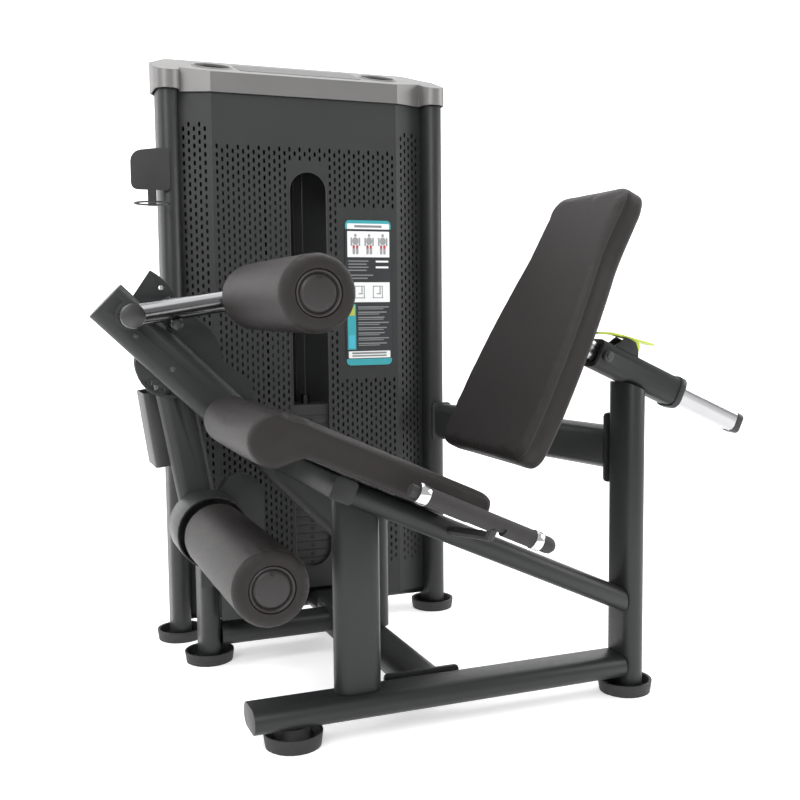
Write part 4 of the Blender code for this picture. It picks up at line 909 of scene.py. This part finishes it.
def instruction_plate():
    """Printed fields of the plate, each a thin film on the one under it."""
    upright = Matrix(((1, 0, 0, 0), (0, 0, -1, 0), (0, 1, 0, 0), (0, 0, 0, 1)))
    films = {}

    def field(ink, layer, loop):
        film = outline_mesh([loop], 0.0002)
        film.transform(upright)
        film.transform(Matrix.Translation(spot(PLATE_X, PLATE_FRONT - 0.00012 - 0.0002 * layer, PLATE_Z)))
        films.setdefault(ink, []).append(film)

    def block(ink, layer, u0, u1, v0, v1, radius=0.001):
        """Field from the plate's left edge and down from its top, in shares of its size."""
        wide, tall = (u1 - u0) * PLATE_WIDE, (v1 - v0) * PLATE_TALL
        centre = ((u0 + u1 - 1) / 2 * PLATE_WIDE, (1 - v0 - v1) / 2 * PLATE_TALL)
        field(ink, layer, rounded_rectangle(wide, tall, min(radius, wide * 0.45, tall * 0.45), 3, centre))

    block("teal", 0, 0.0, 1.0, 0.0, 1.0, 0.012)
    block("dark", 1, -0.003, 1.003, 0.060, 0.955, 0.001)
    block("white", 2, 0.045, 0.965, 0.022, 0.060, 0.002)
    block("grey", 3, 0.20, 0.80, 0.033, 0.049)
    block("white", 2, 0.045, 0.965, 0.075, 0.252)
    block("white", 2, 0.045, 0.965, 0.425, 0.562)
    block("white", 2, 0.045, 0.965, 0.902, 0.950, 0.002)
    block("grey", 3, 0.12, 0.88, 0.909, 0.922)
    block("grey", 3, 0.12, 0.88, 0.929, 0.940)
    for row in range(4):
        block("grey", 3, 0.06, 0.50 - 0.04 * (row % 2), 0.275 + row * 0.021, 0.283 + row * 0.021)
    for row in range(2):
        block("white", 3, 0.66, 0.94, 0.275 + row * 0.040, 0.288 + row * 0.040)
    for row in range(2):
        block("grey", 3, 0.06, 0.60 - 0.12 * row, 0.372 + row * 0.021, 0.380 + row * 0.021)
    for row in range(8):
        block("grey", 3, 0.26, 0.94 - 0.05 * (row % 3), 0.592 + row * 0.036, 0.600 + row * 0.036)
        block("grey", 3, 0.26, 0.82 - 0.09 * (row % 2), 0.606 + row * 0.036, 0.612 + row * 0.036)
    block("teal", 2, 0.030, 0.210, 0.575, 0.890)
    block("green", 3, 0.055, 0.185, 0.585, 0.655)
    block("blue", 3, 0.055, 0.185, 0.790, 0.880)

    def figure(u, v, size):
        """Plain body outline: head, trunk, arms and legs, with the worked muscles marked."""
        cx, cy = (u - 0.5) * PLATE_WIDE, (0.5 - v) * PLATE_TALL

        def put(ink, layer, w, h, dx, dy):
            middle = (cx + dx * size, cy + dy * size)
            field(ink, layer, rounded_rectangle(w * size, h * size, min(w, h) * size * 0.45, 3, middle))

        put("pale", 3, 0.13, 0.15, 0, 0.42)
        put("pale", 3, 0.30, 0.36, 0, 0.15)
        for side in (-1, 1):
            put("pale", 3, 0.085, 0.40, side * 0.20, 0.12)
            put("pale", 3, 0.13, 0.46, side * 0.085, -0.25)
            put("red", 4, 0.085, 0.15, side * 0.085, -0.13)

    for u in (0.22, 0.52, 0.82):
        figure(u, 0.164, 0.058)
    for u in (0.30, 0.70):
        for du, dv, w, h in ((-0.10, 0.0, 0.020, 0.085), (0.10, 0.0, 0.020, 0.085),
                             (0, 0.040, 0.24, 0.006), (0, -0.040, 0.22, 0.006),
                             (0.02, 0.012, 0.10, 0.008), (0.05, -0.012, 0.025, 0.050)):
            block("pale", 3, u + du - w / 2, u + du + w / 2, 0.492 + dv - h / 2, 0.492 + dv + h / 2)
    inks = {"teal": (0.035, 0.33, 0.37), "dark": (0.022, 0.024, 0.027), "white": (0.80, 0.81, 0.81),
            "grey": (0.21, 0.22, 0.22), "pale": (0.30, 0.30, 0.31), "red": (0.52, 0.025, 0.03),
            "green": (0.42, 0.47, 0.06), "blue": (0.06, 0.42, 0.55)}
    for ink, meshes in films.items():
        new_piece("plate_print_" + ink, merged(meshes), printed("ink_" + ink, inks[ink]), "root")


# ---------------------------------------------------------------- tower details
CAP_SLOPE = math.radians(19.2)
CAP_FRONT_TOP = 1.494
CUP_X, CUP_Y, CUP_RADIUS = 0.235, 0.850, 0.047
STACK_FRONT_Y = 0.775
STACK_BOTTOM = 0.163
PLATE_PITCH = 0.0235
PLATE_COUNT, LIFTED_COUNT = 18, 5


def tower_details():
    slope_up = Vector((0, -math.sin(CAP_SLOPE), math.cos(CAP_SLOPE)))
    bezels, liners = [], []
    for side in (-1, 1):
        top = spot(side * CUP_X, CUP_Y, CAP_FRONT_TOP + (CUP_Y - 0.757) * math.tan(CAP_SLOPE))
        tilted = axes_at(top, slope_up)
        bezels.append(lathe([(CUP_RADIUS - 0.0005, -0.004), (CUP_RADIUS - 0.0002, 0.0012),
                             (CUP_RADIUS + 0.0020, 0.0026), (CUP_RADIUS + 0.0065, 0.0024),
                             (CUP_RADIUS + 0.0085, 0.0)], tilted, 72))
        wall = CUP_RADIUS - 0.0004
        liners.append(lathe([(0, -0.0440), (wall, -0.0440), (wall, -0.0175)], Matrix.Translation(top), 64))
        shear = Matrix.Identity(4)
        shear[2][1] = math.tan(CAP_SLOPE)
        liners.append(moved(lathe([(wall, -0.0340), (wall, -0.0010)], shear, 64), Matrix.Translation(top)))
    new_piece("cup_bezels", merged(bezels), SILVER, "root")
    new_piece("cup_liners", merged(liners), RUBBER, "root")
    inlay = outline_mesh([rounded_rectangle(0.340, 0.110, 0.012)], 0.0010, 0.0003)
    middle = spot(0, 0.850, CAP_FRONT_TOP + (0.850 - 0.757) * math.tan(CAP_SLOPE)) + slope_up * 0.0004
    new_piece("cap_inlay", moved(inlay, axes_at(middle, slope_up, X_AXIS)), CAP_DARK, "root")

    resting = PLATE_COUNT - LIFTED_COUNT
    for body, low, high in (("root", 0, resting), ("lift_stack", resting, PLATE_COUNT)):
        # thin near-black discs on the plates' fronts: painted shade of the selector pin holes
        holes = []
        for i in range(low, high):
            z = STACK_BOTTOM + PLATE_PITCH * (i + 0.5)
            holes.append(lathe([(0, 0.0004), (0.0042, 0.0004), (0.0050, 0.0010),
                                (0.0060, 0.0008), (0.0060, 0.0)],
                               axes_at(spot(0, STACK_FRONT_Y, z), -Y_AXIS), 20))
        new_piece("pin_holes_" + body, merged(holes), HOLE_PAINTED_SHADE, body)


def rear_cover_details():
    """Pressed ribs and screws on the flat of the rear cover, set from that cover's own box."""
    cover = NODES["rear_shroud"]
    corners = [cover.matrix_world @ Vector(corner) for corner in cover.bound_box]
    back = max(corner.y for corner in corners)
    low, high = min(corner.z for corner in corners), max(corner.z for corner in corners)
    centre = -FOOTPRINT_CENTRE.x
    ribs, screws = [], []
    for i in range(5):
        rib = outline_mesh([rounded_rectangle(0.022, high - low - 0.34, 0.010)], 0.0036, 0.0016)
        place = Vector((centre + 0.095 * (i - 2), back + 0.0002, (low + high) / 2))
        ribs.append(moved(rib, axes_at(place, Y_AXIS, X_AXIS)))
    for side in (-1, 1):
        for i in range(6):
            z = low + 0.060 + (high - low - 0.120) * i / 5
            place = Vector((centre + side * 0.265, back, z))
            screws.append(lathe([(0, 0.0016), (0.0026, 0.0020), (0.0052, 0.0018),
                                 (0.0070, 0.0), (0.0070, -0.0005)],
                                axes_at(place, Y_AXIS), 24))
    new_piece("rear_cover_ribs", merged(ribs), SHEET_PAINT, "root")
    new_piece("rear_cover_screws", merged(screws), BOLT, "root")


REAR_POST_X = 0.510
BRACE_Z = 0.556


def fasteners():
    """Visible heads of the bolts that hold the flanges, pivots and the sleeve's stop."""
    near = -Y_AXIS
    groups = {"root": [], "thigh_lever": []}
    sleeve = spot(0.436, -0.0412, SLIDE_AXIS_Z - math.tan(SLOPE) * 0.436)
    groups["root"].append(hex_bolt(sleeve, near, 0.0085))
    for dz in (-0.062, 0.062):
        groups["root"].append(hex_bolt(spot(REAR_POST_X, 0.0585, BRACE_Z + dz), Y_AXIS, 0.007))
    for x in (-0.042, 0.096):
        groups["root"].append(hex_bolt(spot(x, 0.0585, 0.0690), Y_AXIS, 0.0065))
    for along in (0.040, 0.150):
        place = spot(-0.528, 0.380, 0.868) + BEAM_ALONG * along - BEAM_UP * 0.022 - Y_AXIS * 0.0001
        groups["root"].append(lathe([(0, 0.0014), (0.0050, 0.0014), (0.0062, 0.0006), (0.0062, 0.0)],
                                    axes_at(place, near), 20))
    groups["thigh_lever"].append(lathe([(0, 0.0012), (0.0235, 0.0012), (0.0262, 0.0), (0.0262, -0.001)],
                                       axes_at(spot(-0.528, 0.3197, 0.868), near), 48))
    for body, meshes in groups.items():
        material = ARM_END if body == "thigh_lever" else BOLT
        new_piece("fasteners_" + body, merged(meshes), material, body)


HANDLE_LEVEL = 0.4975


def grips():
    """Bright end rings and rounded rubber plugs on the grips beside the seat."""
    for side, name in ((-1, "near"), (1, "far")):
        y = side * 0.250
        first = spot(-0.118, y, HANDLE_LEVEL + math.tan(SLOPE) * 0.118)
        last = spot(0.160, y, HANDLE_LEVEL - math.tan(SLOPE) * 0.160)
        plug = lathe([(0, 0.0212), (0.009, 0.0196), (0.0150, 0.0130),
                      (0.0166, 0.0055), (0.0166, -0.0145), (0.010, -0.0145)],
                     axes_at(last, ALONG), 40)
        new_piece("grip_plug_" + name, plug, RUBBER, "root")
        rings = [lathe([(0.0145, -h), (0.0188, -h), (0.0194, -h + 0.0012),
                        (0.0194, h - 0.0012), (0.0188, h), (0.0145, h)],
                       axes_at(place, ALONG), 48)
                 for place, h in ((first + ALONG * 0.025, 0.0105), (last - ALONG * 0.022, 0.0085))]
        new_piece("grip_rings_" + name, merged(rings), CHROME, "root")


BAR_END_X = 0.806


def slide_end():
    """Black plug closing the end of the backrest's bright bar."""
    end = spot(BAR_END_X, 0, SLIDE_AXIS_Z - math.tan(SLOPE) * BAR_END_X)
    plug = outline_mesh([rounded_rectangle(0.0466, 0.0466, 0.0108, 6)], 0.020, 0.0035, 3)
    plug_axes = axes_at(end - ALONG * 0.0055, ALONG, Y_AXIS)
    new_piece("bar_end_plug", moved(plug, plug_axes), PLASTIC, "backrest")


STEM_TOP = 0.640
TOP_PULLEY_Z = 1.330


def lifting_cable():
    """Straight run between the stack and the top wheel, drawn at one fixed length; the real run shortens as
    the stack rises.
    """
    low, high = spot(0, 0.825, STEM_TOP + 0.0004), spot(0, 0.825, TOP_PULLEY_Z - 0.0203)
    points = [low.lerp(high, i / 24) for i in range(25)]
    item = new_piece("lifting_cable", round_bar(points, 0.0029), CABLE, "root", 60)
    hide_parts("stack_cable")
    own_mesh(item)


# ---------------------------------------------------------------- studio
CAMERA_PLACE = spot(-0.820, -1.995, 0.882)
CAMERA_TURN = math.radians(21.4)
CAMERA_PITCH = math.radians(5.08)
CAMERA_ROLL = math.radians(0.57)
FOCAL_PIXELS = 1047.0
IMAGE_PIXELS = 800.0
SENSOR_MM = 36.0


def add_camera():
    """Camera that looks a little down and to the right, rolled by half a degree."""
    view = Vector((math.sin(CAMERA_TURN) * math.cos(CAMERA_PITCH),
                   math.cos(CAMERA_TURN) * math.cos(CAMERA_PITCH), -math.sin(CAMERA_PITCH)))
    level = Vector((math.cos(CAMERA_TURN), -math.sin(CAMERA_TURN), 0))
    upright = level.cross(view)
    right = level * math.cos(CAMERA_ROLL) - upright * math.sin(CAMERA_ROLL)
    up = upright * math.cos(CAMERA_ROLL) + level * math.sin(CAMERA_ROLL)
    data = bpy.data.cameras.new("camera")
    data.sensor_width = SENSOR_MM
    data.lens = FOCAL_PIXELS / IMAGE_PIXELS * SENSOR_MM
    camera = bpy.data.objects.new("camera", data)
    matrix = Matrix((right, up, -view)).transposed().to_4x4()
    matrix.translation = CAMERA_PLACE
    camera.matrix_world = matrix
    bpy.context.scene.collection.objects.link(camera)
    bpy.context.scene.camera = camera


def add_light(name, place, target, size, power):
    data = bpy.data.lights.new(name, "AREA")
    data.shape = "RECTANGLE"
    data.size, data.size_y = size
    data.energy = power
    light = bpy.data.objects.new(name, data)
    light.matrix_world = axes_at(place, Vector(place) - Vector(target))
    bpy.context.scene.collection.objects.link(light)


def add_studio():
    floor = Shader("floor_white", (0.97, 0.97, 0.97), 0.9, Specular_IOR_Level=0.1, Emission_Strength=0.45)
    floor.base.inputs["Emission Color"].default_value = (1, 1, 1, 1)
    floor.vary(floor.noise(0.5, 1.0), 0.01)
    bpy.ops.mesh.primitive_plane_add(size=400, location=(0, 0, -0.0004))
    plane = bpy.context.object
    plane.name = "studio_floor"
    plane.data.materials.append(floor.material)
    screen = Shader("backdrop_white", (0.9, 0.9, 0.9), 0.9, Specular_IOR_Level=0.0, Emission_Strength=0.75)
    screen.base.inputs["Emission Color"].default_value = (1, 1, 1, 1)
    screen.vary(screen.noise(0.5, 1.0), 0.01)
    bpy.ops.mesh.primitive_plane_add(size=60, location=(0, 7, 5), rotation=(math.radians(90), 0, 0))
    wall = bpy.context.object
    wall.name = "studio_backdrop"
    wall.data.materials.append(screen.material)

    world = bpy.data.worlds.new("studio")
    bpy.context.scene.world = world
    world.use_nodes = True
    background = world.node_tree.nodes["Background"]
    background.inputs["Color"].default_value = (1, 1, 1, 1)
    background.inputs["Strength"].default_value = 0.55
    middle = Vector((0, 0, 0.7))
    add_light("key", (-2.2, -2.6, 3.0), middle, (2.2, 2.2), 90)
    add_light("side", (3.4, -0.8, 1.8), middle, (1.4, 2.6), 55)
    add_light("rim", (-3.0, 1.2, 1.8), middle, (1.2, 2.6), 22)
    add_light("top", (0.2, 0.2, 3.6), middle, (2.6, 2.6), 50)


bpy.context.scene.view_settings.view_transform = "Standard"
add_camera()
add_studio()
dress_nodes()
seat_cushion()
back_cushion()
roller("ankle_roller")
roller("thigh_roller")
front_cover()
instruction_plate()
tower_details()
rear_cover_details()
fasteners()
grips()
slide_end()
lifting_cable()
